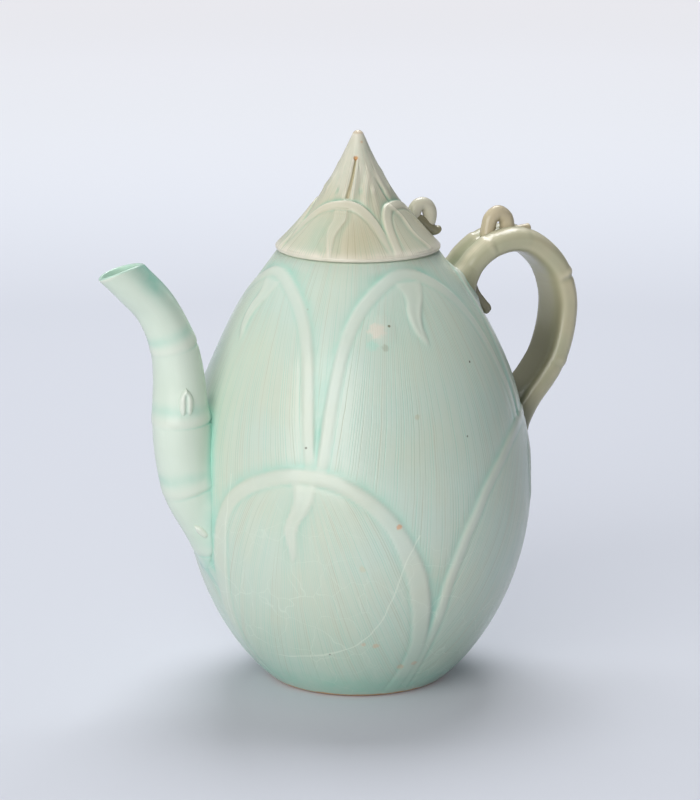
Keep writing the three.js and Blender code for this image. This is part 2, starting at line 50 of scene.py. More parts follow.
# %% From a grid of points to a mesh
MILLIMETRE = 0.001


def closed_surface(name, rows, ends=None, attributes=None):
    """Makes a mesh from rows of points, shaped (rows, columns, 3). Columns close on themselves. With
    ends=(first, last) a fan of triangles joins the first and last rows to those points, and without it
    the last row joins the first. attributes holds one number for each grid point."""
    rows = np.asarray(rows, float)
    count, around = rows.shape[:2]
    index = np.arange(count * around).reshape(count, around)
    beside = np.roll(index, -1, axis=1)
    below, above = (index, np.roll(index, -1, axis=0)) if ends is None else (index[:-1], index[1:])
    beside_below = beside if ends is None else beside[:-1]
    beside_above = np.roll(beside, -1, axis=0) if ends is None else beside[1:]
    quads = np.stack([below, beside_below, beside_above, above], axis=-1).reshape(-1, 4)
    points = rows.reshape(-1, 3)
    fans = np.zeros((0, 3), int)
    if ends is not None:
        points = np.vstack([points, ends])
        first, last = count * around, count * around + 1
        bottom = np.stack([beside[0], index[0], np.full(around, first)], axis=-1)
        top = np.stack([index[-1], beside[-1], np.full(around, last)], axis=-1)
        fans = np.vstack([bottom, top])
    corners = [points[quads[:, [0, 1, 2]]], points[quads[:, [0, 2, 3]]], points[fans]]
    triangles = np.vstack(corners)
    volume = np.einsum("ij,ij->i", triangles[:, 0], np.cross(triangles[:, 1], triangles[:, 2])).sum() / 6
    if volume < 0:
        quads, fans = quads[:, ::-1], fans[:, ::-1]
    mesh = bpy.data.meshes.new(name)
    mesh.from_pydata((points * MILLIMETRE).tolist(), [], quads.tolist() + fans.tolist())
    mesh.polygons.foreach_set("use_smooth", np.ones(len(mesh.polygons), bool))
    for label, values in (attributes or {}).items():
        flat = np.zeros(len(points), np.float32)
        flat[:count * around] = np.asarray(values, float).reshape(-1)
        mesh.attributes.new(label, "FLOAT", "POINT").data.foreach_set("value", flat)
    mesh.update()
    piece = bpy.data.objects.new(name, mesh)
    bpy.context.scene.collection.objects.link(piece)
    print(f"{name}: {len(triangles)} triangles, {abs(volume) / 1000:.1f} cubic centimetres of clay")
    return piece


# %% [markdown]
# A few shapes of step serve all the relief. A soft step goes from 0 to 1 with no kink, a bump is a hill
# of one height, and a path runs smoothly through a handful of measured points, as a roll of clay does.

# %% Steps, bumps and paths
def soft_step(start, end, value):
    """0 before start, 1 after end, and between them 3 t squared less 2 t cubed."""
    t = np.clip((value - start) / (end - start), 0, 1)
    return t * t * (3 - 2 * t)


def bump(value, width):
    """A bell of height 1: e to the power of minus the square of value over width."""
    return np.exp(-(np.asarray(value, float) / width) ** 2)


def smooth_path(stops, count):
    """A centripetal Catmull-Rom curve through the stops, resampled at equal steps of its length. Between
    two stops it is a cubic, and its slope at a stop weighs the neighbours by the root of their distance."""
    stops = np.asarray(stops, float)
    p = np.vstack([2 * stops[0] - stops[1], stops, 2 * stops[-1] - stops[-2]])
    gap = np.sqrt(np.linalg.norm(np.diff(p, axis=0), axis=1))
    u = np.linspace(0, 1, 60, endpoint=False)[:, None]
    runs = []
    for i in range(1, len(p) - 2):
        before, here, after = gap[i - 1], gap[i], gap[i + 1]
        step = (p[i + 1] - p[i]) / here
        leave = (p[i] - p[i - 1]) / before - (p[i + 1] - p[i - 1]) / (before + here) + step
        arrive = step - (p[i + 2] - p[i]) / (here + after) + (p[i + 2] - p[i + 1]) / after
        rise = 3 * u ** 2 - 2 * u ** 3
        runs.append(p[i] * (1 - rise) + p[i + 1] * rise
                    + leave * here * (u ** 3 - 2 * u ** 2 + u) + arrive * here * (u ** 3 - u ** 2))
    dense = np.vstack(runs + [p[-2:-1]])
    length = np.concatenate([[0], np.cumsum(np.linalg.norm(np.diff(dense, axis=0), axis=1))])
    even = np.linspace(0, length[-1], count)
    return np.stack([np.interp(even, length, dense[:, k]) for k in range(dense.shape[1])], axis=1)


def path_length(path):
    """Length of a path: the sum of its steps."""
    return np.linalg.norm(np.diff(path, axis=0), axis=1).sum()


def carry(path, left, across):
    """Carries a section along a path of (x, z) points in the middle plane. left and across are shaped
    (rows, columns): a point is the path point, plus left times the direction square to the path in that
    plane, plus across times Y."""
    along = np.gradient(path, axis=0)
    along /= np.linalg.norm(along, axis=1)[:, None]
    square = np.stack([-along[:, 1], along[:, 0]], axis=1)
    x = path[:, :1] + square[:, :1] * left
    z = path[:, 1:] + square[:, 1:] * left
    return np.stack([x, across + 0 * x, z], axis=-1)


def turns(count):
    """Angles of a full turn in equal steps, as one row."""
    return np.linspace(0, 2 * np.pi, count, endpoint=False)[None, :]


# %% [markdown]
# The vessel is thrown on the wheel, so its plain form is a profile turned about the axis: an egg that is
# widest at 82 mm. Below that its radius follows a rounded quarter, and above it a power curve draws in to
# the seat of the lid.

# %% Profile of the vessel
FOOT_RADIUS, BELLY_RADIUS, SEAT_RADIUS = 36.6, 74.3, 33.8
BELLY_HEIGHT, SEAT_HEIGHT = 82.0, 186.7
MOUTH_RADIUS, BODY_WALL, FLOOR_THICKNESS = 24.8, 5.0, 7.0


def body_radius(height):
    """Below the belly, the root of belly squared less a share of (belly squared less foot squared) that
    grows with depth to the power 1.82. Above it, the belly less a share that grows to the power 2.17."""
    down = np.clip((BELLY_HEIGHT - height) / BELLY_HEIGHT, 0, 1)
    up = np.clip((height - BELLY_HEIGHT) / (SEAT_HEIGHT - BELLY_HEIGHT), 0, 1.2)
    low = np.sqrt(BELLY_RADIUS ** 2 - (BELLY_RADIUS ** 2 - FOOT_RADIUS ** 2) * down ** 1.82)
    high = BELLY_RADIUS - (BELLY_RADIUS - SEAT_RADIUS) * up ** 2.17
    return np.where(np.asarray(height) < BELLY_HEIGHT, low, high)


fine_heights = np.linspace(0, SEAT_HEIGHT, 2001)
fine_radii = body_radius(fine_heights)
fine_arc = np.concatenate([[0], np.cumsum(np.hypot(np.diff(fine_heights), np.diff(fine_radii)))])
print("length of the vessel's outer profile, mm:", round(float(fine_arc[-1]), 1))


def slope_stretch(height):
    """How much longer a level cut through the wall is than the cut square to it."""
    return np.sqrt(1 + np.interp(height, fine_heights, np.gradient(fine_radii, fine_heights)) ** 2)


# %% [markdown]
# Spout and handle are rolls of clay that were bent, luted on and smoothed over. Their centre lines are
# needed before the vessel is made, because the potter's finger leaves a small fillet where two pieces
# meet. The fillet is a smooth union: where the distance d to the other piece is under k, the skin rises
# by (k - d) squared over 4 k.

# %% Centre lines of the spout and the handle
SPOUT_STOPS = [(-60, 62), (-65, 69.3), (-70.3, 78.5), (-76.9, 91), (-80.5, 106), (-82, 121.5), (-82.4, 138),
               (-85.1, 153), (-92.5, 169), (-101.9, 179.2), (-107.2, 184.6), (-114.5, 191.6)]
HANDLE_STOPS = [(41.5, 162.7), (48.6, 173.3), (52.4, 178.4), (58.4, 183.0), (65, 185.5), (71.5, 186.2),
                (79, 184.5), (86.7, 179.3), (92.2, 172.8), (95.4, 165.0), (96.8, 157.6), (96.4, 149),
                (94.7, 140.6), (91.6, 132), (86.3, 124), (80, 116.4), (75.3, 108.6), (71.7, 100), (68.5, 91)]
SPOUT_ROOT_DIAMETER, SPOUT_MOUTH_DIAMETER = 24.8, 17.6
SPOUT_NODE_HEIGHTS = (93, 121, 153)
HANDLE_WIDTH, HANDLE_THICKNESS = 23.0, 11.3

spout_path = smooth_path(SPOUT_STOPS, 260)
handle_path = smooth_path(HANDLE_STOPS, 300)
print("spout and handle, length in mm:", round(path_length(spout_path)), round(path_length(handle_path)))


def spout_radius(place):
    """Half of the root's diameter, easing to half of the mouth's between 0.35 and 0.82 of the length."""
    return (SPOUT_ROOT_DIAMETER + (SPOUT_MOUTH_DIAMETER - SPOUT_ROOT_DIAMETER)
            * soft_step(0.35, 0.82, place)) / 2


def nearest_on(path, points):
    """For each point, shaped (..., 3), the place from 0 to 1 of the nearest point of the path, and the
    distances to it in the middle plane, left of the path, and across the plane."""
    flat = points.reshape(-1, 3)
    best = np.full(len(flat), np.inf)
    place = np.zeros(len(flat))
    left = np.zeros(len(flat))
    along = np.gradient(path, axis=0)
    along /= np.linalg.norm(along, axis=1)[:, None]
    for i in range(0, len(path), 2):
        dx, dz = flat[:, 0] - path[i, 0], flat[:, 2] - path[i, 1]
        distance = dx * dx + dz * dz
        closer = distance < best
        best[closer] = distance[closer]
        place[closer] = i / (len(path) - 1)
        left[closer] = (dz * along[i, 0] - dx * along[i, 1])[closer]
    shape = points.shape[:-1]
    return place.reshape(shape), np.sqrt(best).reshape(shape), left.reshape(shape), points[..., 1]


def distance_to_spout(points):
    """Distance outside the spout's skin: the way to its centre line less its radius there."""
    place, in_plane, _, across = nearest_on(spout_path, points)
    return np.hypot(in_plane, across) - spout_radius(place)


def distance_to_handle(points):
    """Distance outside the handle, whose section is taken as a rounded box that flares at both ends."""
    place, in_plane, left, across = nearest_on(handle_path, points)
    flare = 1 + 0.25 * np.clip(1 - np.minimum(place, 1 - place) / 0.1, 0, 1)
    over_left = np.maximum(in_plane - HANDLE_THICKNESS / 2 * flare + 2, 0)
    over_across = np.maximum(np.abs(across) - HANDLE_WIDTH / 2 * flare + 2, 0)
    return np.hypot(over_left, over_across) - 2


def distance_to_body(points):
    """Distance outside the vessel's plain wall, square to it."""
    radius = np.hypot(points[..., 0], points[..., 1])
    height = np.clip(points[..., 2], 0, SEAT_HEIGHT)
    return (radius - body_radius(height)) / slope_stretch(height)


def fillet(distance, size):
    """Rise of the skin beside another piece: (size - distance) squared over 4 times the size."""
    return np.clip(size - np.clip(distance, 0, None), 0, None) ** 2 / (4 * size)


# %% [markdown]
# The wall is carved with the sheaths of a bamboo shoot, in two tiers. Each sheath has a raised border, and
# a short curling tongue hangs from its tip. They could be modelled as separate leaves, but the real ones
# are cut into the wall and share one glaze, so here they are a height over the thrown form. A sheath is
# described by its outline, as degrees from its middle against height, from the left foot over the tip to
# the right foot. The two in front have their own outlines, and the others share a mirrored one. The
# distance to the outline, measured over the skin, then drives the border, the step and the colour.

# %% Sheaths on the vessel
def mirrored(half_outline):
    """A whole outline from its right half: the half turned over, and then the half itself."""
    return [(-angle, height) for angle, height in half_outline[:0:-1]] + half_outline


LOWER_OUTLINE = mirrored([(0, 108.5), (7, 108.1), (15, 106.4), (23, 102.8), (29.5, 97.8), (34.4, 91.6),
                          (39.4, 82), (43.2, 72), (46.4, 59), (49.2, 49), (51.8, 39), (54.6, 28.7),
                          (57, 18), (59, 8), (60, -6)])
FRONT_OUTLINE = [(-45, -4), (-45, 15), (-43.5, 30), (-41, 45), (-38, 60), (-35.5, 70.4), (-33.7, 79),
                 (-31.5, 85.5), (-29.2, 90), (-26.4, 94), (-19.8, 99.9), (-13.8, 103.2), (-8.1, 105.6),
                 (-1.6, 106.9), (4.7, 106.8), (11.3, 105.4), (17.7, 102), (22.6, 98.2), (27.5, 93.2),
                 (32.9, 85.2), (37.5, 75.3), (42.4, 62.5), (44.2, 54.6), (45.9, 46.4), (46.7, 38.9),
                 (47.3, 30.5), (46.9, 22.7), (45, 10), (43, -4)]
RIGHT_OUTLINE = [(-60, -17), (-58.5, 4), (-56.4, 18), (-54.8, 29), (-54, 38), (-53, 46.7), (-50.5, 56.6),
                 (-47.5, 66.7), (-43.8, 74.4), (-39.5, 83.2), (-35.5, 89), (-30.5, 94.5), (-23, 101.3),
                 (-15, 105.8), (-7, 107.9)] + LOWER_OUTLINE[14:]
UPPER_OUTLINE = mirrored([(0, 183.8), (9, 182.8), (17, 180.1), (24.4, 176.2), (31, 171), (36, 163.7),
                          (39.4, 154), (41.4, 142), (42.6, 130), (43.6, 118), (45, 104), (46, 90)])
LOWER_SHEATHS = [(140.0, 0.95, 6.0, LOWER_OUTLINE, 5.4), (52.0, 0.9, 3.0, LOWER_OUTLINE, 5.4),
                 (-31.0, 1.0, 11.0, RIGHT_OUTLINE, 4.5), (-134.4, 1.0, 0.0, FRONT_OUTLINE, 6.0)]
UPPER_SHEATHS = [(5.0, 1.0, 0.0, UPPER_OUTLINE, 5.2), (95.0, 1.02, 0.5, UPPER_OUTLINE, 5.2),
                 (-176.0, 1.06, -1.5, UPPER_OUTLINE, 5.2), (-84.4, 1.0, 0.0, UPPER_OUTLINE, 5.2)]
LOWER_STEP, LOWER_BORDER = 0.52, 0.2
UPPER_STEP, UPPER_BORDER = 0.38, 0.15
BRUISE_ANGLE, BRUISE_HEIGHT, BRUISE_WALL = -103.5, 162.0, 52.0
DENT_ANGLE, DENT_HEIGHT = 150.0, 143.0


def degrees_apart(angle, centre):
    """Signed difference of two angles, from -180 to 180 degrees."""
    return (angle - centre + 180) % 360 - 180


def outline_distance(angle, height, outline, centre, width, shift):
    """Distance over the skin to a sheath's outline, positive inside it. Each stretch of the outline is a
    straight line in the flattened skin round the grid point: degrees times the mean radius, and length
    along the profile. The nearest stretch counts."""
    line = smooth_path(outline, 67) * [width, 1] + [0, shift]
    line_angle, line_height = line[:, 0], line[:, 1]
    away = degrees_apart(angle, centre)
    radius, arc = body_radius(height), np.interp(height, fine_heights, fine_arc)
    line_radius = body_radius(np.clip(line_height, 0, SEAT_HEIGHT))
    line_arc = np.interp(line_height, fine_heights, fine_arc) + np.minimum(line_height, 0)
    nearest = np.full(away.shape, 1e6)
    x0 = y0 = None
    for i in range(len(line_angle)):
        x1 = np.radians(line_angle[i] - away) * (radius + line_radius[i]) / 2
        y1 = line_arc[i] - arc
        if x0 is not None:
            step_x, step_y = x1 - x0, y1 - y0
            t = np.clip(-(x0 * step_x + y0 * step_y) / (step_x ** 2 + step_y ** 2 + 1e-9), 0, 1)
            nearest = np.minimum(nearest, np.hypot(x0 + t * step_x, y0 + t * step_y))
        x0, y0 = x1, y1
    tip = int(np.argmax(line_height))
    left = np.interp(height, line_height[:tip + 1], line_angle[:tip + 1])
    right = np.interp(height, line_height[:tip - 1:-1], line_angle[:tip - 1:-1])
    inside = (away > left) & (away < right) & (height < line_height[tip])
    return np.where(inside, nearest, -nearest)


def lay_sheath(below, distance, border_width, border_height, step):
    """Lays a sheath over what is below it: a step at its outline, a flat border inside that with a fine
    groove along it, and a hollow in the skin outside that fades within about a centimetre."""
    skin = below - step * np.exp(-np.abs(distance) / 5)
    border = soft_step(-0.2, 0.9, distance) * (1 - soft_step(-1.6, 0.4, distance - border_width))
    groove = bump(distance - border_width - 0.3, 0.8)
    sheath = border_height * border - 0.17 * groove
    return skin + (sheath - skin) * soft_step(-1.2, 0.7, distance), border, groove


# %% [markdown]
# The tongues are short curled points of clay. Each follows a line of middles and half-widths down from
# the tip of its sheath. Across it the height is a flat-topped hill with a shallow groove, so that the
# glaze runs off both edges. The sheath behind the handle has none, because the handle covers its place.

# %% Tongues of the sheaths
UNTONGUED = 5.0
LOWER_TONGUE = [(103.5, 1.4, 6.4), (99.5, 1.75, 5.0), (94.7, 1.6, 4.3), (89.8, 0.4, 3.8), (85.1, -1.65, 3.2),
                (80.8, -2.55, 2.8), (75.5, -2.2, 2.1), (70.2, -1.95, 1.1), (66.4, -2.8, 0.0)]
UPPER_TONGUE = [(178.5, 0.5, 6.5), (175.0, 1.4, 4.7), (172.0, 0.8, 4.0), (169.0, -1.0, 3.6),
                (165.8, -1.95, 3.0), (162.0, -2.0, 2.3), (158.9, -1.1, 1.8), (156.0, 0.4, 0.9),
                (153.8, 0.7, 0.0)]


def tongue_rise(angle, height, tongue, centre, shift):
    """Height of a tongue from 0 to 1: a flat hill across it that falls off over 1.6 mm near its
    half-width, less a groove of a third beside its middle, and nothing above its root or below its tip."""
    rows = smooth_path(tongue, 60)[::-1]
    middle = np.interp(height - shift, rows[:, 0], rows[:, 1])
    half_width = np.interp(height - shift, rows[:, 0], rows[:, 2])
    side = np.radians(degrees_apart(angle, centre) - middle) * body_radius(height)
    edge = np.abs(side) - half_width
    hill = 1 - soft_step(-1.1, 0.5, edge)
    groove = 0.35 * bump(side / np.maximum(half_width, 0.8) - 0.15, 0.4)
    long_enough = soft_step(rows[0, 0] - 1, rows[0, 0] + 3, height - shift)
    below_root = 1 - soft_step(rows[-1, 0] - 1, rows[-1, 0] + 1.5, height - shift)
    return hill * (1 - groove) * long_enough * below_root


# %% [markdown]
# Fine veins are combed into the soft clay before glazing, about 1.1 mm apart. They are too fine for the
# mesh, so each grid point only stores how far across the comb it is, in millimetres, and the material
# draws the lines from that number. On an upper sheath the lines follow its sides. On a lower one they
# start at the tip like sun rays in the middle and follow the border at the sides, so the power of the
# height in their formula falls from the middle to the border.

# %% Lines of the veins
def vein_across(angle, height, centre, width, top, powers, full_width, full_depth):
    """Distance across the veins in mm. A vein at share s of the way out lies s times full_width from the
    middle at full_depth below the top, and above that it closes in with the depth to a power that runs
    from powers[0] at the middle to powers[1] at the border. s is found by halving an interval."""
    side = np.radians(degrees_apart(angle, centre)) * body_radius(height) / width
    depth = np.clip((top - height) / full_depth, 0.01, 1.6)
    low, high = np.zeros(side.shape), np.full(side.shape, 1.6)
    for _ in range(14):
        share = (low + high) / 2
        power = powers[0] + (powers[1] - powers[0]) * np.clip(share, 0, 1)
        short = share * full_width * depth ** power < np.abs(side)
        low, high = np.where(short, share, low), np.where(short, high, share)
    return np.sign(side) * (low + high) / 2 * full_width


# %% [markdown]
# Now the whole wall is worked out at once, on a grid of heights and angles. The upper sheaths are laid
# first and the lower ones over them. Glaze is thin on what stands proud and thick in what lies deep, so
# both are measured from the finished height: the height less its own average nearby is where the glaze
# runs off, and the average less the height is where it pools.

# %% Height of the wall
def average_nearby(field, rows, columns):
    """Average of a field on a closed grid over a window, by running sums, done twice so that it fades."""
    for _ in range(2):
        for axis, reach, mode in ((0, rows, "edge"), (1, columns, "wrap")):
            pad = [(0, 0), (0, 0)]
            pad[axis] = (reach + 1, reach)
            total = np.cumsum(np.pad(field, pad, mode=mode), axis=axis)
            ahead = np.take(total, range(2 * reach + 1, total.shape[axis]), axis=axis)
            behind = np.take(total, range(0, total.shape[axis] - 2 * reach - 1), axis=axis)
            field = (ahead - behind) / (2 * reach + 1)
    return field


def wall_relief(angle, height):
    """Height of the carved wall over the thrown form in mm, with the numbers that the glaze needs. The
    sheaths are laid one by one. Their borders get lower towards the foot, and the front one's also on its
    left. A tongue grows out of the border: only what stands above the border counts. Last come a swelling
    under the bruise, a dent on the far side, and the slow waves that the potter's hand leaves."""
    relief = -0.3 + 0.1 * np.cos(np.radians(4 * (angle + 40)))
    veins = np.radians(angle) * 64.0
    vein_depth = np.ones(angle.shape)
    borders = np.zeros(angle.shape)
    tiers = [(UPPER_SHEATHS, UPPER_TONGUE, UPPER_STEP, UPPER_BORDER, (186, (0.5, 0.45), 52.0, 66.0)),
             (LOWER_SHEATHS, LOWER_TONGUE, LOWER_STEP, LOWER_BORDER, (107, (0.8, 0.3), 58.0, 80.0))]
    for sheaths, tongue_stops, step, border_height, (top, powers, reach, depth) in tiers:
        for centre, width, shift, outline, border_width in sheaths:
            distance = outline_distance(angle, height, outline, centre, width, shift)
            in_front = outline is FRONT_OUTLINE
            wide = border_width * (1 + 0.5 * in_front * bump(height - 54, 26))
            low = 0.35 + 0.65 * soft_step(18, 52, height)
            low = low * (1 - 0.5 * in_front * soft_step(-24, -40, degrees_apart(angle, centre)))
            relief, border, groove = lay_sheath(relief, distance, wide, border_height * low, step * low)
            border = border * low
            tongue = tongue_rise(angle, height, tongue_stops, centre, shift) * (centre != UNTONGUED)
            root = tongue_stops[0][0]
            proud = 0.22 + 0.43 * soft_step(root - 2, root - 15, height - shift)
            relief = relief + np.clip(proud * tongue - border_height * border, 0, None)
            inside = distance > 0
            across = vein_across(angle, height, centre, width, top + shift, powers, reach, depth)
            veins = np.where(inside, across, veins)
            quiet = np.maximum(soft_step(0.02, 0.3, border), soft_step(0.05, 0.4, tongue))
            edge = soft_step(1.2, 2.6, np.abs(distance))
            inner = (1 - quiet) * soft_step(top - 2, top - 18, height - shift)
            vein_depth = np.where(inside, inner, vein_depth) * edge
            borders = np.maximum(borders * (1 - inside), np.maximum(border, tongue))
    bruise = np.hypot(np.radians(degrees_apart(angle, BRUISE_ANGLE)) * BRUISE_WALL, height - BRUISE_HEIGHT)
    relief = relief + 0.45 * (1 - soft_step(1.5, 7.0, bruise))
    dent = bump(degrees_apart(angle, DENT_ANGLE), 28) * bump(height - DENT_HEIGHT, 15)
    relief = relief - 0.9 * dent
    hand = 0.25 * np.sin(np.radians(3 * angle + 50)) * np.sin(height / 31)
    hand = hand + 0.12 * np.sin(np.radians(5 * angle))
    fade = soft_step(0, 9, height) * (1 - 0.75 * soft_step(SEAT_HEIGHT - 6, SEAT_HEIGHT - 1, height))
    return (relief + hand) * fade, veins, vein_depth, borders


LONG_CRACK = [(20.3, -144.8), (23.2, -123.7), (29.4, -114.1), (35.5, -108.4), (44.3, -104.4), (58.3, -100.4),
              (70.3, -97.0), (80.0, -93.5)]
SIDE_CRACK = [(30.0, -172.0), (41.5, -170.0), (62.0, -164.5), (86.0, -161.0), (101.0, -160.0)]
FAR_FROM_CRACK = 9.0


def past_crack(angle, height, crack):
    """Signed distance to a long crack in the glaze, given as (height, degrees): the level distance times
    the cosine of the crack's slant. Beyond the crack's ends it is FAR_FROM_CRACK, which draws nothing."""
    line = np.array(crack)
    level = np.radians(angle - np.interp(height, line[:, 0], line[:, 1])) * body_radius(height)
    turn_per_mm = np.gradient(np.radians(line[:, 1]), line[:, 0])
    drift = np.interp(height, line[:, 0], turn_per_mm) * body_radius(height)
    past = np.clip(level / np.hypot(1, drift), -FAR_FROM_CRACK, FAR_FROM_CRACK)
    inside = (height > line[0, 0]) & (height < line[-1, 0])
    return np.where(inside, past, FAR_FROM_CRACK)


WALL_ROWS, WALL_COLUMNS = 194, 430
wall_arc = np.linspace(0, fine_arc[-1], WALL_ROWS)
wall_height = np.interp(wall_arc, fine_arc, fine_heights)[:, None] + np.zeros((1, WALL_COLUMNS))
wall_angle = np.linspace(-180, 180, WALL_COLUMNS, endpoint=False)[None, :] + np.zeros((WALL_ROWS, 1))
relief, veins, vein_depth, borders = wall_relief(wall_angle, wall_height)
long_crack = past_crack(wall_angle, wall_height, LONG_CRACK)
side_crack = past_crack(wall_angle, wall_height, SIDE_CRACK)
print("relief of the wall, mm:", round(float(relief.min()), 2), "to", round(float(relief.max()), 2))

# %% [markdown]
# The wall of the vessel closes over the rim into a plain thrown hollow, which shows when the lid is
# lifted. The height is added square to the skin. Beside spout and handle the skin rises into a fillet,
# where thick glaze gathers. In the narrowest gap beside the spout it forms a turquoise bead. Above it,
# in the notch between spout and vessel, a dull grey-green is painted shade, and the lower wall gets
# painted shade too, more towards the foot.

# %% The vessel
SPOUT_FILLET, HANDLE_FILLET = 5.0, 7.0

wall_turn = np.radians(wall_angle)
wall_profile = body_radius(wall_height)
lean = np.arctan(np.interp(wall_height, fine_heights, np.gradient(fine_radii, fine_heights)))


def wall_points(rise):
    """Points of the wall: radius plus the rise times the cosine of the wall's lean, and height less the
    rise times its sine."""
    radius = wall_profile + rise * np.cos(lean)
    height = wall_height - rise * np.sin(lean)
    return np.stack([radius * np.cos(wall_turn), radius * np.sin(wall_turn), height], axis=-1)


plain_wall = wall_points(relief)
to_spout, to_handle = distance_to_spout(plain_wall), distance_to_handle(plain_wall)
rise = relief + fillet(to_spout, SPOUT_FILLET) + fillet(to_handle, HANDLE_FILLET)
outer_wall = wall_points(np.where(wall_height > SEAT_HEIGHT - 1, np.minimum(rise, 0), rise))
outer_wall[..., 2] = np.clip(outer_wall[..., 2], 0, SEAT_HEIGHT - 0.4)

hollow_heights = np.concatenate([[SEAT_HEIGHT - 0.35, SEAT_HEIGHT - 1.2, SEAT_HEIGHT - 7],
                                 np.linspace(SEAT_HEIGHT - 16, FLOOR_THICKNESS + 1, 12),
                                 [FLOOR_THICKNESS, FLOOR_THICKNESS]])
inner_heights = hollow_heights[3:15]
hollow_radii = np.concatenate([[MOUTH_RADIUS + 0.9, MOUTH_RADIUS, MOUTH_RADIUS],
                               body_radius(inner_heights) - BODY_WALL * slope_stretch(inner_heights),
                               [FOOT_RADIUS - 9, FOOT_RADIUS - 22]])
rim = [(SEAT_RADIUS - 0.8, SEAT_HEIGHT - 0.1), (SEAT_RADIUS - 3.5, SEAT_HEIGHT - 0.1)]
base = [(10.0, 0.0), (FOOT_RADIUS - 4, 0.0), (FOOT_RADIUS - 0.8, 0.0)]


def rings(pairs):
    """Level rings of wall columns at (radius, height) pairs."""
    pairs = np.array(pairs, float)
    radius, height = pairs[:, :1], pairs[:, 1:] + np.zeros((1, WALL_COLUMNS))
    return np.stack([radius * np.cos(wall_turn[:1]), radius * np.sin(wall_turn[:1]), height], axis=-1)


outer_wall[0, :, :2] *= (FOOT_RADIUS / np.hypot(outer_wall[0, :, 0], outer_wall[0, :, 1]))[:, None]
outer_wall[0, :, 2] = 0.5
hollow = np.stack([hollow_radii, hollow_heights], axis=1)
vessel_rows = np.vstack([rings(base), outer_wall, rings(rim), rings(hollow)])
BASE_ROWS, INNER_ROWS = len(base), len(rim) + len(hollow_heights)


def over_wall(field, inside_value=0.0):
    """Adds rows of a plain value to a field of the wall, for the base below it and the hollow after it."""
    below = np.full((BASE_ROWS, WALL_COLUMNS), inside_value)
    return np.vstack([below, field, np.full((INNER_ROWS, WALL_COLUMNS), inside_value)])


def beside_spout(distance, reach, height):
    """Share of the thick bead of glaze between spout and vessel, where they stand closest."""
    near = 1 - soft_step(0.6, reach, distance)
    return 0.6 * near * soft_step(84, 98, height) * soft_step(128, 121, height)


hollowness = average_nearby(relief, 3, 3) - relief
wide_hollowness = average_nearby(relief, 8, 8) - relief
spout_crease = np.exp(-np.clip(to_spout, 0, None) / 2.2)
handle_crease = 0.5 * np.exp(-np.clip(to_handle, 0, None) / 2.5)
crease = np.maximum(spout_crease, handle_crease)
pool_and_shade = np.clip(1.35 * hollowness + 0.6 * wide_hollowness + 1.2 * crease, 0, 1)
pool_and_shade = np.maximum(pool_and_shade, 0.55 * bump(wall_height - 6, 6))
# Painted shade: the lower wall's colour is pushed towards the thick glaze colour, more so towards the foot.
pool_and_shade = np.clip(pool_and_shade + 0.28 * soft_step(55, 8, wall_height), 0, 1)
thin = np.clip(-0.3 * hollowness - 0.2 * wide_hollowness + 0.14 * borders, 0, 1)
bead = beside_spout(to_spout, 4.0, wall_height)
# Painted shade: a dull grey-green in the narrow notch between spout and vessel, above the bead.
notch = 0.7 * (1 - soft_step(1.2, 4.4, to_spout)) * bump(wall_height - 129.5, 3.4)
vessel = closed_surface("vessel_skin", vessel_rows, ends=[(0, 0, 0), (0, 0, FLOOR_THICKNESS)], attributes={
    "pool_and_shade": over_wall(pool_and_shade), "thin": over_wall(thin),
    "veins": over_wall(veins), "vein_depth": over_wall(vein_depth * soft_step(2, 14, wall_height)),
    "bead": over_wall(bead), "notch": over_wall(notch),
    "long_crack": over_wall(long_crack, FAR_FROM_CRACK),
    "side_crack": over_wall(side_crack, FAR_FROM_CRACK)})

# %% [markdown]
# The spout is a bamboo stalk: a bent tube with three nodes, and a fourth that is almost hidden at its
# root. Each node is a low ring with a line cut just under it. The tube is carried along its centre line
# with round sections, and every line of its skin stops where it meets the slanting cut of the mouth. The
# bore runs back inside it. Glaze lies thick in the cut lines, by the vessel, and in the inner bend under
# the mouth.

# %% The spout
SPOUT_ROWS, SPOUT_COLUMNS = 230, 96
MOUTH_POINT, MOUTH_SLOPE = np.array([-107.2, 184.6]), np.radians(15.7)
MOUTH_UP = np.array([-np.sin(MOUTH_SLOPE), np.cos(MOUTH_SLOPE)])
MOUTH_BOW = 2.2
ROOT_NODE_HEIGHT = 69.5

spout_length = path_length(spout_path)
spout_places = np.linspace(0, 1, len(spout_path))
node_places = [float(np.interp(height, spout_path[:, 1], spout_places)) for height in SPOUT_NODE_HEIGHTS]
root_node = float(np.interp(ROOT_NODE_HEIGHT, spout_path[:, 1], spout_places))


def node_ring(place, angle):
    """A bamboo node: a soft ridge of 0.25 mm, wider above than below, and a fine line cut 2.2 mm under
    it, which the hand pressed deeper on one side than on the other."""
    total = 0 * (place + angle)
    for number, node in enumerate([root_node] + node_places):
        away = (place - node) * spout_length
        deep = np.clip(0.5 + 0.6 * np.sin(angle + 0.5 * number + 3.6), 0.12, 1)
        total = total + 0.25 * bump(away, np.where(away > 0, 3.0, 1.6))
        total = total - 0.55 * deep * bump(away + 2.2, 0.4)
    return total


def tube(radius_of, columns, path):
    """Round sections along a path: left is minus the radius times the cosine, across the radius times
    the sine."""
    place = np.linspace(0, 1, len(path))[:, None]
    angle = turns(columns)
    radius = radius_of(place, angle)
    return carry(path, radius * np.cos(angle), radius * np.sin(angle))


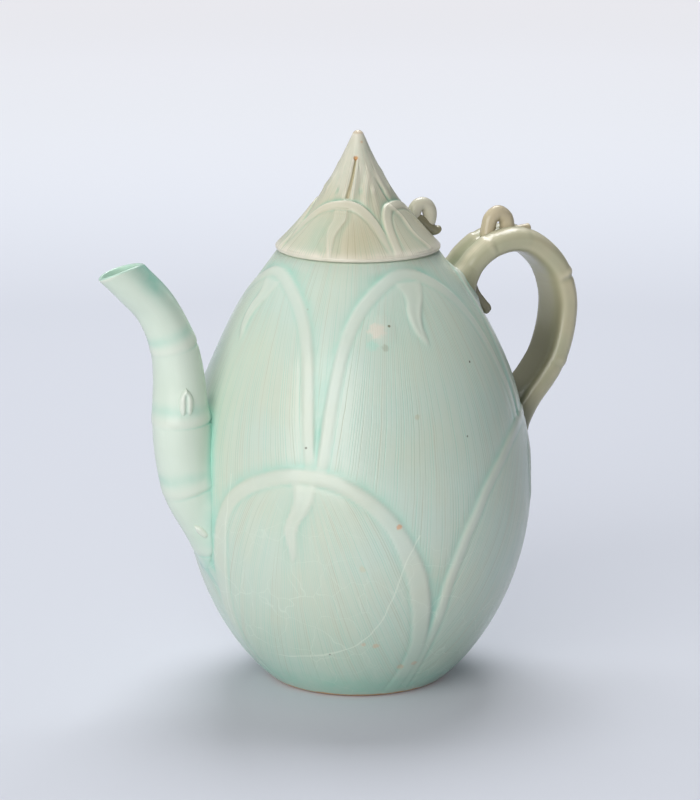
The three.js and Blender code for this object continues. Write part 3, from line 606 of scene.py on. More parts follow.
def cut_at_mouth(rows, count):
    """Shortens each column of a tube to where it meets the cut of the mouth, and spreads count rows
    evenly over what is left. The cut is a plane that bows up by MOUTH_BOW on the near side."""
    near = np.clip(-np.sin(turns(rows.shape[1])), 0, 1)
    above = (rows[..., [0, 2]] - MOUTH_POINT) @ MOUTH_UP - MOUTH_BOW * near
    late = np.arange(len(rows))[:, None] > len(rows) * 0.6
    first = np.argmax((above > 0) & late, axis=0)
    columns = np.arange(rows.shape[1])
    before, after = above[first - 1, columns], above[first, columns]
    end = first - 1 + before / (before - after)
    want = np.linspace(0, 1, count)[:, None] * end[None, :]
    low = np.floor(want).astype(int)
    share = (want - low)[..., None]
    high = np.minimum(low + 1, len(rows) - 1)
    return rows[low, columns] * (1 - share) + rows[high, columns] * share, want / (len(rows) - 1)


def spout_skin_radius(place, angle):
    """Radius of the spout with its nodes, and a little unevenness from the hand."""
    hand = 0.12 * np.sin(2 * angle + 9 * place) + 0.1 * np.sin(3 * angle - 23 * place)
    return spout_radius(place) + node_ring(place, angle) + hand


def spout_bore_radius(place, angle):
    """Radius of the bore: the wall is 3 mm thick and thins to 1.4 mm at the lip."""
    return spout_radius(place) - 3.0 + 1.6 * soft_step(0.82, 0.95, place) + 0 * angle


spout_skin = tube(spout_skin_radius, SPOUT_COLUMNS, spout_path)
body_gap = distance_to_body(spout_skin)
spout_middle = carry(spout_path, np.zeros((len(spout_path), 1)), np.zeros((len(spout_path), 1)))
outward = spout_skin - spout_middle
outward /= np.linalg.norm(outward, axis=-1)[..., None]
spout_skin = spout_skin + outward * (fillet(body_gap, SPOUT_FILLET) * soft_step(-1, 0, body_gap))[..., None]
spout_outer, outer_places = cut_at_mouth(spout_skin, SPOUT_ROWS)
spout_inner, _ = cut_at_mouth(tube(spout_bore_radius, SPOUT_COLUMNS, spout_path), 60)

lip = np.linspace(0, np.pi, 6)[1:-1]
lip_middle, lip_half = (spout_outer[-1] + spout_inner[-1]) / 2, (spout_outer[-1] - spout_inner[-1]) / 2
lip_up = np.array([MOUTH_UP[0], 0, MOUTH_UP[1]])
lip_rows = [lip_middle + np.cos(a) * lip_half + np.sin(a) * 0.7 * lip_up for a in lip]
spout_rows = np.vstack([spout_outer, lip_rows, spout_inner[::-1]])

node_depth = node_ring(outer_places, turns(SPOUT_COLUMNS))
spout_gap = distance_to_body(spout_outer)
spout_pool = np.clip(0.9 * np.exp(-np.clip(spout_gap, 0, None) / 2.4)
                     - 1.3 * np.clip(node_depth, -1, 0), 0, 1)
for node in node_places:
    spout_pool = np.maximum(spout_pool, 0.4 * bump((outer_places - node) * spout_length - 5.0, 2.5))
inner_bend = soft_step(-0.35, 0.8, -np.cos(turns(SPOUT_COLUMNS)))
spout_pool = np.maximum(spout_pool, inner_bend * bump(outer_places - 0.875, 0.085))
by_lip = soft_step(0.985, 1, outer_places / outer_places.max())
spout_thin = np.clip(1.1 * np.clip(node_depth, 0, 1) + 0.6 * by_lip, 0, 1)


def over_spout(field, inner_value):
    """Adds rows of a plain value to a field of the spout's skin, for its lip and its bore."""
    return np.vstack([field, np.full((len(lip_rows) + len(spout_inner), SPOUT_COLUMNS), inner_value)])


# Painted shade: inside the bore the spout gets 0.6 of the thick glaze colour.
spout = closed_surface("spout_skin", spout_rows, attributes={
    "pool_and_shade": over_spout(spout_pool, 0.6), "thin": over_spout(spout_thin, 0.1),
    "bead": over_spout(beside_spout(spout_gap, 3.6, spout_outer[..., 2]), 0.0),
    "veins": over_spout(turns(SPOUT_COLUMNS) * 11 + 0 * outer_places, 0.0),
    "vein_depth": over_spout(0 * outer_places + 0.12, 0.0)})

# %% [markdown]
# Two buds sit on the near side of the spout. The upper one is a pointed arch, grooved down its middle,
# and the lower one is a drop. Both are made as small domes over a flat outline: the outline shrinks
# towards the middle while the height grows.

# %% Buds on the spout
def rounded(value, power):
    """Keeps the sign of a value and raises its size to a power."""
    return np.sign(value) * np.abs(value) ** power


def bud(name, height, around, turn, half_width, length, proud, groove):
    """A dome over an outline that stays wide over the lower half and runs to a point at the top. Row by
    row the outline shrinks by a cosine as the height rises by a sine. It sits at a height of the spout,
    around it by some degrees from the near side, and is turned by some degrees from the spout's axis."""
    place = float(np.interp(height, spout_path[:, 1], spout_places))
    centre = np.array([np.interp(place, spout_places, spout_path[:, 0]), height])
    along = np.array([np.interp(place, spout_places, np.gradient(spout_path[:, k])) for k in (0, 1)])
    along /= np.linalg.norm(along)
    side = np.radians(around)
    out = np.array([-along[1] * np.sin(side), -np.cos(side), along[0] * np.sin(side)])
    up = np.array([along[0], 0, along[1]])
    level = np.cross(up, out)
    cosine, sine = np.cos(np.radians(turn)), np.sin(np.radians(turn))
    up, across = up * cosine + level * sine, level * cosine - up * sine
    angle = turns(48)
    y = np.sin(angle) * length / 2
    squarish = rounded(np.cos(angle), 0.45)
    taper = np.where(y > 0, 1 - (y / (length / 2)) ** 2.4, 1)
    x = squarish * half_width * taper
    rise = np.linspace(0, np.pi / 2, 14)[:-1, None]
    shrink, lift = np.cos(rise) ** 0.7, np.sin(rise)
    x_rows, y_rows = x * shrink, y * (0.25 + 0.75 * shrink)
    dip = groove * bump(x_rows / half_width, 0.24) * soft_step(0.3, 0.8, lift)
    dip = dip * (1 - soft_step(0.25, 0.8, y_rows / (length / 2)))
    radius = spout_radius(place)
    z_rows = radius - 1.2 + (proud + 1.2) * lift - dip
    points = (np.array([centre[0], 0, centre[1]]) + x_rows[..., None] * across + y_rows[..., None] * up
              + z_rows[..., None] * out)
    top = np.array([centre[0], 0, centre[1]]) + (radius + proud - groove) * out
    foot = np.array([centre[0], 0, centre[1]]) + (radius - 1.4) * out
    high = np.clip(lift + 0 * x_rows - 0.4, 0, 1)
    return closed_surface(name, points, ends=[foot, top], attributes={
        "pool_and_shade": np.clip(dip * 1.2 + 0.8 * (1 - soft_step(0, 0.3, lift + 0 * x_rows)), 0, 1),
        "thin": high, "veins": 0 * x_rows, "vein_depth": 0 * x_rows})


bud_high = bud("bud_high", 130.2, 9, 0, 3.3, 12.6, 1.7, 0.9)
bud_low = bud("bud_low", 77.8, 41, -20, 1.9, 8.6, 1.2, 0.0)

# %% [markdown]
# The handle is a strap of split cane: two rolls side by side with a channel between them, and a flat
# inner side. Thin node rings cross it. Where it meets the vessel the rolls spread and are smoothed on,
# and its lower end runs out under the skin. HANDLE_NODES gives the way along the handle to each ring and
# the ring's height, both in mm.

# %% The handle
HANDLE_ROWS, HANDLE_COLUMNS = len(handle_path), 96
handle_length = path_length(handle_path)
handle_place = np.linspace(0, 1, HANDLE_ROWS)[:, None]
handle_angle = turns(HANDLE_COLUMNS) + np.pi / HANDLE_COLUMNS
HANDLE_NODES = [(27.0, 0.3), (44.0, 0.12), (69.5, 0.6), (108.0, 0.3)]


def handle_section():
    """Distances left of the path and across it. The outer side is a squarish oval with a channel like a
    bell pressed into it, and the inner side is flatter, with its near corner worn round. A node is a ridge
    with a notch behind it, and hardly shows on the inner side."""
    flare = 1 + 0.25 * np.clip(1 - np.minimum(handle_place, 1 - handle_place) / 0.1, 0, 1)
    outside = np.cos(handle_angle) > 0
    power = np.where(outside, 0.75, np.where(np.sin(handle_angle) < 0, 0.64, 0.42))
    across = HANDLE_WIDTH / 2 * flare * rounded(np.sin(handle_angle), power)
    channel = 2.6 * bump(across, 2.6) * soft_step(0, 0.5, np.cos(handle_angle))
    left = HANDLE_THICKNESS / 2 * flare * rounded(np.cos(handle_angle), power) - channel
    shown = 0.1 + 0.9 * soft_step(-0.6, 0.4, np.cos(handle_angle))
    ring = 0 * handle_place
    for at, size in HANDLE_NODES:
        away = handle_place * handle_length - at
        ring = ring + size * (bump(away, 1.3) - 0.9 * bump(away - 2.4, 1.0)) * shown
    size = np.hypot(left, across)
    return left * (1 + ring / size), across * (1 + ring / size), channel, ring


handle_left, handle_across, channel, handle_ring = handle_section()
handle_rows = carry(handle_path, handle_left, handle_across)
sink = (distance_to_body(handle_rows[-1:]).max() + 1.6) * soft_step(0.9, 1, handle_place)[..., None]
from_axis = handle_rows * np.array([1, 1, 0])
handle_rows = handle_rows - sink * from_axis / np.linalg.norm(from_axis, axis=-1)[..., None]
handle_gap = distance_to_body(handle_rows)
handle_middle = carry(handle_path, np.zeros((HANDLE_ROWS, 1)), np.zeros((HANDLE_ROWS, 1)))
outward = handle_rows - handle_middle
outward /= np.linalg.norm(outward, axis=-1)[..., None]
spread = (fillet(handle_gap, HANDLE_FILLET) * soft_step(-1.5, 0, handle_gap))[..., None]
handle_rows = handle_rows + outward * spread
handle_pool = np.clip(0.55 * channel / 2.6 + 0.8 * np.exp(-np.clip(handle_gap, 0, None) / 3)
                      - 1.2 * np.clip(handle_ring, -1, 0), 0, 1)
crest = bump(np.abs(handle_across) - 8.2, 2.2) * (handle_left > 0)
handle_thin = np.clip(0.8 * crest + 1.2 * np.clip(handle_ring, 0, 1), 0, 1)
# Painted shade: the shaded share darkens the flat inner face, more towards the lower end, and the deep share
# darkens the lower root all round, most on its inner side, and the inner side by the upper root.
inner_face = soft_step(-0.3, -0.85, np.cos(handle_angle)) + 0 * handle_place
low_end = soft_step(0.42, 0.7, handle_place)
towards_inside = soft_step(0.7, -0.5, np.cos(handle_angle))
handle_painted_shade = np.clip(0.55 * inner_face * low_end
                      + 0.9 * soft_step(0.78, 0.94, handle_place) * (0.4 + 0.6 * towards_inside)
                      + 0.6 * inner_face * soft_step(0.14, 0.05, handle_place), 0, 1)
handle_ends = [handle_middle[0, 0], handle_middle[-1, 0]]
handle = closed_surface("handle_skin", handle_rows, ends=handle_ends, attributes={
    "pool_and_shade": handle_pool, "thin": handle_thin, "veins": handle_across,
    "vein_depth": 0.45 * (1 - inner_face), "shaded": inner_face * (0.6 + 0.4 * low_end),
    "deep": handle_painted_shade})

# %% [markdown]
# Small rolls and straps finish the handle and the lid: the tongue under the handle's upper end, the
# arched loop on its back with a short tail, and the curled loop on the lid whose tail crosses under it.
# All are ovals carried along short paths, and only their thickness changes on the way.

# %% Rolls and straps
def roll(name, stops, thickness, width, rows=60, columns=32, squareness=1.0, thin=0.3, shaded=0.0,
         deep=0.0):
    """Ovals along a path. thickness and width are lists, spread evenly along the path and joined by straight
    lines. A squareness under 1 flattens the sides. The ends close like a fingertip: the size falls with
    the root of 1 less the square of the way into the last millimetres."""
    path = smooth_path(stops, rows)
    length = path_length(path)
    place = np.linspace(0, 1, rows)
    stations = np.linspace(0, 1, len(thickness))
    thick = np.interp(place, stations, thickness)[:, None] / 2
    wide = np.interp(place, stations, width)[:, None] / 2
    tip = np.minimum(wide.min() * 0.8, length / 3)
    into = np.clip(1 - np.minimum(place, 1 - place) * length / tip, 0, 0.985)[:, None]
    closing = np.sqrt(1 - into ** 2)
    angle = turns(columns)
    left = thick * closing * rounded(np.cos(angle), squareness)
    across = wide * closing * rounded(np.sin(angle), squareness)
    points = carry(path, left, across)
    ends = [(path[0, 0], 0, path[0, 1]), (path[-1, 0], 0, path[-1, 1])]
    zero = 0 * left
    # shaded and deep are shares of painted shade in the handle glaze.
    return closed_surface(name, points, ends=ends, attributes={
        "pool_and_shade": zero + 0.15, "thin": zero + thin, "veins": across, "vein_depth": zero + 0.25,
        "shaded": zero + shaded, "deep": zero + deep})


# Painted shade: the tongue lies under the handle's upper end and takes the shaded and deep colours.
handle_tongue = roll("handle_tongue_skin", [(51.2, 171.5), (52.2, 168.0), (54.0, 163.8), (57.6, 158.9),
                                            (61.8, 154.0)],
                     [3.0, 3.6, 4.2, 4.7, 4.9], [15, 13, 11.5, 10.4, 9.8],
                     squareness=0.5, shaded=0.9, deep=0.12)

LOOP_CENTRE = (66.0, 189.75)
LOOP_STOPS = [(-5.0, -3.6), (-4.0, 1.6), (-2.9, 5.2), (0.6, 7.4), (4.0, 5.2), (5.1, 1.6), (6.0, -3.0)]
handle_loop = roll("handle_loop_skin", [(LOOP_CENTRE[0] + x, LOOP_CENTRE[1] + z) for x, z in LOOP_STOPS],
                   [6.4, 6.6, 6.6, 6.7, 6.6, 6.6, 6.2], [6.6, 6.2, 6.0, 5.8, 6.0, 6.2, 6.6],
                   rows=90, thin=0.5)
handle_nub = roll("handle_nub_skin", [(74.8, 190.2), (78.2, 190.0), (80.6, 189.8), (82.2, 190.2)],
                  [1.2, 2.2, 3.2, 3.6], [2.2, 3.0, 3.6, 3.6], rows=30, thin=0.5)

lid_loop = roll("lid_loop_skin", [(25.9, 195.6), (26.3, 200.3), (27.8, 202.9), (30.2, 203.7), (32.5, 202.5),
                                  (33.7, 199.8), (33.8, 196.6), (33.4, 193.9)],
                [5.6, 6.2, 6.0, 5.8, 6.1, 6.4, 5.8, 4.6], [5.8, 6.0, 5.8, 5.6, 5.8, 6.0, 5.6, 5.0],
                rows=90, thin=0.3)
# Painted shade: the tail crosses under the loop and takes the shaded colour of the handle glaze.
lid_tail = roll("lid_tail_skin", [(23.6, 198.6), (26.8, 197.7), (30.7, 195.0), (34.2, 192.5), (37.0, 192.0),
                                  (38.9, 193.4)],
                [4.0, 5.2, 5.7, 5.6, 4.7, 2.4], [5.4, 6.2, 6.2, 6.0, 5.0, 3.0], thin=0.1, shaded=0.9)

# %% [markdown]
# The lid is the tip of the shoot: a steep cone that flares to a thin rim. Four sheaths wrap its lower
# half, the front one with a ribbed tongue, and folded leaf tips with a slit between them close over its
# upper half. It is carved in the same way as the vessel, from distances to outlines.

# %% Profile of the lid
LID_HEIGHT, LID_RIM_RADIUS, LID_RIM, LID_TIP = 50.6, 35.0, 1.7, 3.0
LID_SHOULDER = LID_HEIGHT - LID_TIP
POINT_RADIUS, POINT_CENTRE, POINT_START = 2.53, 48.07, 49.13


def lid_radius(up):
    """3 mm plus 32 mm times (0.66 of the way down plus 0.34 of the way down to the 2.42). Above 47.6 mm
    the way down is negative, so the cone runs on, until a small ball closes the point."""
    down = (LID_SHOULDER - up) / (LID_SHOULDER - LID_RIM)
    return LID_TIP + (LID_RIM_RADIUS - LID_TIP) * (0.66 * down + 0.34 * np.clip(down, 0, 1) ** 2.42)


FRONT_LEAF = [(-56, -3), (-55, 3.4), (-54, 6.9), (-51.5, 10.3), (-48, 13.7), (-42.7, 17.0), (-34.2, 19.9),
              (-23.5, 21.8), (-9, 22.9), (4.8, 23.2), (16.6, 22.8), (28, 21.3), (36.8, 18.8), (42.5, 16.0),
              (46.5, 12.5), (50, 8), (52.5, 3), (54, -3)]
RIGHT_LEAF = [(-45, -3), (-45, 2), (-45, 6.1), (-45.4, 9.9), (-45, 13.3), (-43.0, 16.6), (-38.5, 19.4),
              (-31, 21.2), (-14, 22), (3, 21.4), (16, 19.6), (26, 16), (33, 11), (38, 5), (40, -3)]
BACK_LEAF = mirrored([(0, 22.6), (11, 22.4), (24, 20.6), (33, 17), (39, 11.5), (43, 4.5), (45, -3)])
FRONT_LEAF_MIDDLE = -137.0
LID_SHEATHS = [(48.0, BACK_LEAF, 0.0), (132.0, BACK_LEAF, -1.0), (FRONT_LEAF_MIDDLE, FRONT_LEAF, 0.0),
               (-43.0, RIGHT_LEAF, 0.0)]
LID_BORDER = 4.2
LID_TONGUE = [(21.3, 0.3, 3.7), (19.3, 0.5, 3.2), (15.9, 1.4, 3.0), (12.9, -1.4, 2.9), (9.8, -2.5, 2.3),
              (6.2, -1.0, 1.8), (3.4, 0.8, 1.25), (1.0, 1.5, 0.9)]
FLANK_STRETCH = 1.22


def polyline_distance(angle, up, line):
    """Distance over the cone from each grid point to a line of (degrees, height) points, with the place
    along the line. The cone is flattened round the grid point, and the way down its flank is
    FLANK_STRETCH times the height."""
    radius = lid_radius(up)
    nearest, where = np.full(angle.shape, 1e6), np.zeros(angle.shape)
    line = np.array(line, float)
    x = [np.radians(degrees_apart(a, angle)) * (radius + lid_radius(h)) / 2 for a, h in line]
    y = [(h - up) * FLANK_STRETCH for a, h in line]
    for i in range(len(line) - 1):
        step_x, step_y = x[i + 1] - x[i], y[i + 1] - y[i]
        t = np.clip(-(x[i] * step_x + y[i] * step_y) / (step_x ** 2 + step_y ** 2 + 1e-9), 0, 1)
        distance = np.hypot(x[i] + t * step_x, y[i] + t * step_y)
        closer = distance < nearest
        nearest = np.where(closer, distance, nearest)
        where = np.where(closer, (i + t) / (len(line) - 1), where)
    return nearest, where


# %% [markdown]
# The folded tips above the sheaths are soft ridges and creases that start near the point and fade out
# downwards. The slit is a groove that widens downwards, with a low lip on both sides. It starts in a small
# round pit, where the clay shows through burnt orange.

# %% Height of the lid
LID_FOLDS = [([(-82, 39), (-90, 33.5), (-98, 29), (-103, 24), (-103, 21)], 1.3, 0.42),
             ([(-80, 36), (-86, 28), (-89, 22.7), (-91, 17)], 1.5, 0.30),
             ([(-98, 38), (-106, 31.5), (-114, 27), (-115, 23)], 1.4, -0.38),
             ([(-75, 33), (-69.2, 28.4), (-65.2, 24.4), (-61, 22)], 0.8, -0.55),
             ([(-70, 36), (-62, 29), (-56, 23)], 1.4, 0.34),
             ([(-134, 38), (-138.8, 34.9), (-141.1, 29.8), (-141.5, 24)], 1.6, 0.30),
             ([(-117, 38), (-119.4, 34.5), (-121.5, 29.5), (-123, 24)], 1.2, 0.32),
             ([(-173, 36), (-162.6, 30), (-153.5, 23)], 1.7, -0.34),
             ([(176, 36), (-178, 29), (-174, 22)], 2.0, 0.28)]
FAR_FOLDS = [(-36, 0.3), (-18, -0.3), (2, 0.32), (26, -0.3), (48, 0.34), (70, -0.3), (92, 0.3),
             (114, -0.32), (136, 0.3), (156, -0.3)]
LID_FOLDS += [([(start, 40), (start - 4, 31), (start + 3, 22)], 1.7, size) for start, size in FAR_FOLDS]
SLIT = [(-123.8, 39.2), (-127.6, 32.0), (-132.3, 24.9)]
PIT = (-123.6, 39.8)
RIGHT_FOLD = [(-69, 20.2), (-64, 18.2), (-59.5, 15.6), (-59.0, 11.1), (-57.3, 7.9), (-53.2, 4.6), (-50, 1.7)]


def lid_tongue_rise(angle, up):
    """Height of the lid's tongue from 0 to 1, with the distance from its middle in mm."""
    rows = smooth_path(LID_TONGUE, 60)[::-1]
    middle = np.interp(up, rows[:, 0], rows[:, 1])
    half_width = np.interp(up, rows[:, 0], rows[:, 2])
    side = np.radians(degrees_apart(angle, FRONT_LEAF_MIDDLE) - middle) * lid_radius(up)
    hill = 1 - soft_step(-0.7, 0.3, np.abs(side) - half_width)
    return hill * (1 - soft_step(19.0, 21.4, up)), side


def lid_relief(angle, up):
    """Height of the carved lid over its plain cone in mm, with the numbers that the glaze needs: first
    the folds, the slit and the pit, then the four sheaths over them, the tongue of the front one with
    three small ribs at its root, and a fold on the right one."""
    relief = 0 * angle - 0.1
    for line, width, size in LID_FOLDS:
        distance, along = polyline_distance(angle, up, line)
        strength = soft_step(0, 0.4, along) * (1 - 0.5 * soft_step(0.7, 1, along))
        relief = relief + size * bump(distance, width) * strength
    slit, slit_place = polyline_distance(angle, up, SLIT)
    slit = slit / (0.6 + 0.6 * slit_place)
    relief = relief - 0.9 * (1 - soft_step(0.1, 0.9, slit)) + 0.22 * bump(slit - 1.8, 0.8)
    pit, _ = polyline_distance(angle, up, [PIT, (PIT[0] + 0.5, PIT[1])])
    relief = relief - 0.9 * (1 - soft_step(0.4, 1.2, pit))
    veins, vein_depth = np.radians(angle) * 17, 0.7 + 0 * angle
    borders = 0 * angle
    for centre, outline, shift in LID_SHEATHS:
        line = smooth_path(outline, 60)
        distance, _ = polyline_distance(angle, up, line + [centre, shift])
        away = degrees_apart(angle, centre)
        top = int(np.argmax(line[:, 1]))
        left = np.interp(up - shift, line[:top + 1, 1], -line[:top + 1, 0])
        right = np.interp(up - shift, line[:top - 1:-1, 1], line[:top - 1:-1, 0])
        side = np.where(away < line[top, 0], -left, right)
        inside = (away > -left) & (away < right) & (up - shift < line[top, 1])
        distance = np.where(inside, distance, -distance)
        skin = relief - 0.5 * np.exp(-np.abs(distance) / 3)
        border = soft_step(0, 0.6, distance) * (1 - soft_step(-1.6, 0.5, distance - LID_BORDER))
        border = border * soft_step(0.6, 4.0, up)
        groove = bump(distance - LID_BORDER - 0.3, 0.5) * soft_step(2.0, 6.0, up)
        sheath = 0.12 + 0.2 * border - 0.16 * groove
        relief = skin + (sheath - skin) * soft_step(-0.7, 0.4, distance)
        borders = np.maximum(borders * (1 - inside), border)
        fan = 30 * away / np.maximum(np.abs(side), 6)
        veins = np.where(inside, fan, veins)
        vein_depth = np.where(inside, 1 - 0.8 * border, vein_depth) * soft_step(0.2, 0.9, np.abs(distance))
    tongue, side = lid_tongue_rise(angle, up)
    beside = bump(np.abs(side) - 4.2, 1.2) * soft_step(21, 18, up) * soft_step(1, 5, up)
    proud = 0.22 + 0.25 * soft_step(18, 10, up)
    relief = relief + np.clip(proud * tongue - 0.2 * borders, 0, None) * soft_step(0.5, 3, up)
    relief = relief - 0.22 * beside
    root = (1 - soft_step(2.8, 3.8, np.abs(side))) * sum(bump(up - at, 0.28) for at in (20.4, 19.3, 18.2))
    relief = relief - 0.1 * root
    veins = np.where(tongue > 0.5, side * 1.4, veins)
    vein_depth = np.maximum(vein_depth * (1 - tongue), tongue)
    borders = np.maximum(borders, 0.5 * tongue)
    fold, _ = polyline_distance(angle, up, smooth_path(RIGHT_FOLD, 24))
    fold_angles, fold_heights = np.array(RIGHT_FOLD[::-1]).T
    right_part = degrees_apart(angle, np.interp(up, fold_heights, fold_angles))
    beyond = soft_step(-0.5, 0.5, np.radians(right_part) * lid_radius(up)) * bump(right_part / 34, 0.8)
    on_leaf = soft_step(0.5, 3, up) * (1 - soft_step(20, 21.5, up))
    relief = relief + (0.45 * bump(fold, 0.9) + 0.3 * beyond) * on_leaf
    borders = np.maximum(borders, 0.8 * bump(fold, 0.9))
    vein_depth = vein_depth * (1 - 0.8 * beyond * (up < 21)) * (1 - bump(fold, 1.0))
    hand = 0.12 * np.sin(np.radians(3 * angle)) + 0.1 * np.sin(np.radians(2 * angle + 70))
    fade = soft_step(0.3, 3.5, up) * (1 - soft_step(LID_SHOULDER - 6, LID_SHOULDER, up))
    return (relief + hand) * fade, veins, vein_depth * fade, borders * fade, slit, pit


LID_ROWS, LID_COLUMNS = 190, 464
lid_up = np.linspace(POINT_START, LID_RIM, LID_ROWS)[:, None] + np.zeros((1, LID_COLUMNS))
lid_angle = np.linspace(-180, 180, LID_COLUMNS, endpoint=False)[None, :] + np.zeros((LID_ROWS, 1))
lid_height, lid_veins, lid_vein_depth, lid_borders, slit, pit = lid_relief(lid_angle, lid_up)
print("relief of the lid, mm:", round(float(lid_height.min()), 2), "to", round(float(lid_height.max()), 2))

# %% [markdown]
# The point of the lid is closed by a piece of a ball, and its underside follows the cone at a distance of
# about 5 mm, with a level step for the flange. The rim is rounded and a little wavy, as a hand-cut rim
# is. The glaze is greener left of the tongue, olive right of it and in the slit, and bare in the pit, on
# a small chip and on the point.

# %% The lid
lid_turn = np.radians(lid_angle)
lid_lean = np.arctan(np.gradient(lid_radius(lid_up[:, 0]), lid_up[:, 0]))[:, None]
lid_r = lid_radius(lid_up) + lid_height * np.cos(lid_lean)
lid_z = SEAT_HEIGHT + lid_up - lid_height * np.sin(lid_lean)
flank = np.stack([lid_r * np.cos(lid_turn), lid_r * np.sin(lid_turn), lid_z], axis=-1)


def lid_rings(pairs):
    """Level rings of lid columns at (radius, height above the seat) pairs."""
    pairs = np.array(pairs, float)
    radius, up = pairs[:, :1], SEAT_HEIGHT + pairs[:, 1:] + np.zeros((1, LID_COLUMNS))
    return np.stack([radius * np.cos(lid_turn[:1]), radius * np.sin(lid_turn[:1]), up], axis=-1)


contact = np.arcsin((POINT_START - POINT_CENTRE) / POINT_RADIUS)
cap_angle = np.linspace(np.pi / 2, contact, 9)[1:-1]
cap = [(POINT_RADIUS * np.cos(a), POINT_CENTRE + POINT_RADIUS * np.sin(a)) for a in cap_angle]
LID_WALL, STEP_RADIUS = 4.9, 21.4
inner_ups = np.linspace(7.5, 37.0, 10)
underside = [(34.95, 0.9), (34.6, 0.35), (34.0, 0.12), (30.2, 0.12), (29.2, 1.0), (25.4, 5.2), (24.2, 5.7),
             (21.5, 5.8)]
underside += [(max(float(lid_radius(up)) - LID_WALL, 1.0), float(up)) for up in inner_ups
              if lid_radius(up) - LID_WALL < STEP_RADIUS]
lid_rows = np.vstack([lid_rings(cap), flank, lid_rings(underside)])
wave = 0.18 * np.sin(3 * lid_turn[:1] + 1) + 0.12 * np.sin(7 * lid_turn[:1])
rim_rows = slice(len(cap) + LID_ROWS - 3, len(cap) + LID_ROWS + 2)
lid_rows[rim_rows, :, :2] *= (1 - np.abs(wave) / LID_RIM_RADIUS)[..., None]


def over_lid(field, cap_value, inner_value):
    """Adds rows of a plain value to a field of the lid's flank, for its cap and its underside."""
    return np.vstack([np.full((len(cap), LID_COLUMNS), cap_value), field,
                      np.full((len(underside), LID_COLUMNS), inner_value)])


lid_hollow = average_nearby(lid_height, 4, 4) - lid_height
lid_wide = average_nearby(lid_height, 10, 10) - lid_height
left_of_tongue = np.radians(degrees_apart(lid_angle, -148)) * lid_radius(lid_up)
lid_pool = np.clip(1.7 * lid_hollow + 0.6 * lid_wide, 0, 1) * soft_step(0.4, 1.6, np.minimum(pit, slit))
lid_pool = np.maximum(lid_pool, 0.5 * bump(left_of_tongue, 5.5) * bump(lid_up - 9, 8) * (1 - lid_borders))
lid_thin = np.clip(-1.6 * lid_hollow + 0.16 * lid_borders + bump(lid_up - 1.7, 1.8)
                   + 0.55 * soft_step(22, 33, lid_up) + 0.4 * soft_step(46, 49, lid_up), 0, 1)
chip, _ = polyline_distance(lid_angle, lid_up, [(-91.6, 46), (-90, 46)])
bare = np.maximum(1 - soft_step(0.3, 1.4, pit), 0.6 * bump(chip, 0.5))
right_of_tongue = np.radians(degrees_apart(lid_angle, -113)) * lid_radius(lid_up)
olive = 0.5 * bump(np.hypot(right_of_tongue, lid_up - 8), 9) * (1 - lid_borders)
olive = np.maximum(olive, 0.9 * (1 - soft_step(0.2, 1.1, slit)))
lid = closed_surface("lid_skin", lid_rows, ends=[(0, 0, SEAT_HEIGHT + LID_HEIGHT), (0, 0, SEAT_HEIGHT + 38)],
                     attributes={"pool_and_shade": over_lid(lid_pool, 0.0, 0.0), "thin": over_lid(lid_thin, 0.7, 0.9),
                                 "veins": over_lid(lid_veins, 0.0, 0.0),
                                 "vein_depth": over_lid(lid_vein_depth, 0.0, 0.0),
                                 "bare": over_lid(bare, 0.25, 0.0), "olive": over_lid(olive, 0.0, 0.0)})

# %% [markdown]
# Under the lid a plain ring drops into the mouth of the vessel and keeps the lid in place. Its section is
# a rectangle with rounded corners, turned about the axis.

# %% The flange
FLANGE_OUTER, FLANGE_INNER, FLANGE_BOTTOM, FLANGE_TOP = 24.0, 21.5, SEAT_HEIGHT - 12, SEAT_HEIGHT + 5.6
section_angle = np.linspace(0, 2 * np.pi, 28, endpoint=False)
flange_out, flange_up = rounded(np.cos(section_angle), 0.35), rounded(np.sin(section_angle), 0.12)
flange_r = (FLANGE_OUTER + FLANGE_INNER) / 2 + (FLANGE_OUTER - FLANGE_INNER) / 2 * flange_out
flange_z = (FLANGE_BOTTOM + FLANGE_TOP) / 2 + (FLANGE_TOP - FLANGE_BOTTOM) / 2 * flange_up
flange_turn = turns(160)
flange_rows = np.stack([flange_r[:, None] * np.cos(flange_turn), flange_r[:, None] * np.sin(flange_turn),
                        flange_z[:, None] + 0 * flange_turn], axis=-1)
zero = 0 * flange_rows[..., 0]
flange = closed_surface("lid_flange_skin", flange_rows, attributes={
    "pool_and_shade": zero, "thin": zero + 0.9, "veins": zero, "vein_depth": zero})

# %% [markdown]
# Glaze next. Celadon is a clear, slightly cloudy glass tinted by a little iron, over grey-white
# stoneware. Thin on the edges it lets the pale clay through, and thick in the hollows it turns
# blue-green. Where the kiln let in air it goes olive or buff. The eye reads it by a soft gloss with an
# even, slightly dimpled surface, fine combed lines, a net of crackle and a few iron specks. Colours are
# written as on a screen and turned to the linear values that the shader needs.

# %% One helper for colours and one for nodes
def linear(hex_colour):
    """Screen colour to linear: channels under 0.04045 are divided by 12.92, and the others are raised by
    0.055, divided by 1.055 and put to the power 2.4."""
    channels = np.array([int(hex_colour[i:i + 2], 16) for i in (1, 3, 5)]) / 255
    light = np.where(channels <= 0.04045, channels / 12.92, ((channels + 0.055) / 1.055) ** 2.4)
    return (*light.tolist(), 1.0)


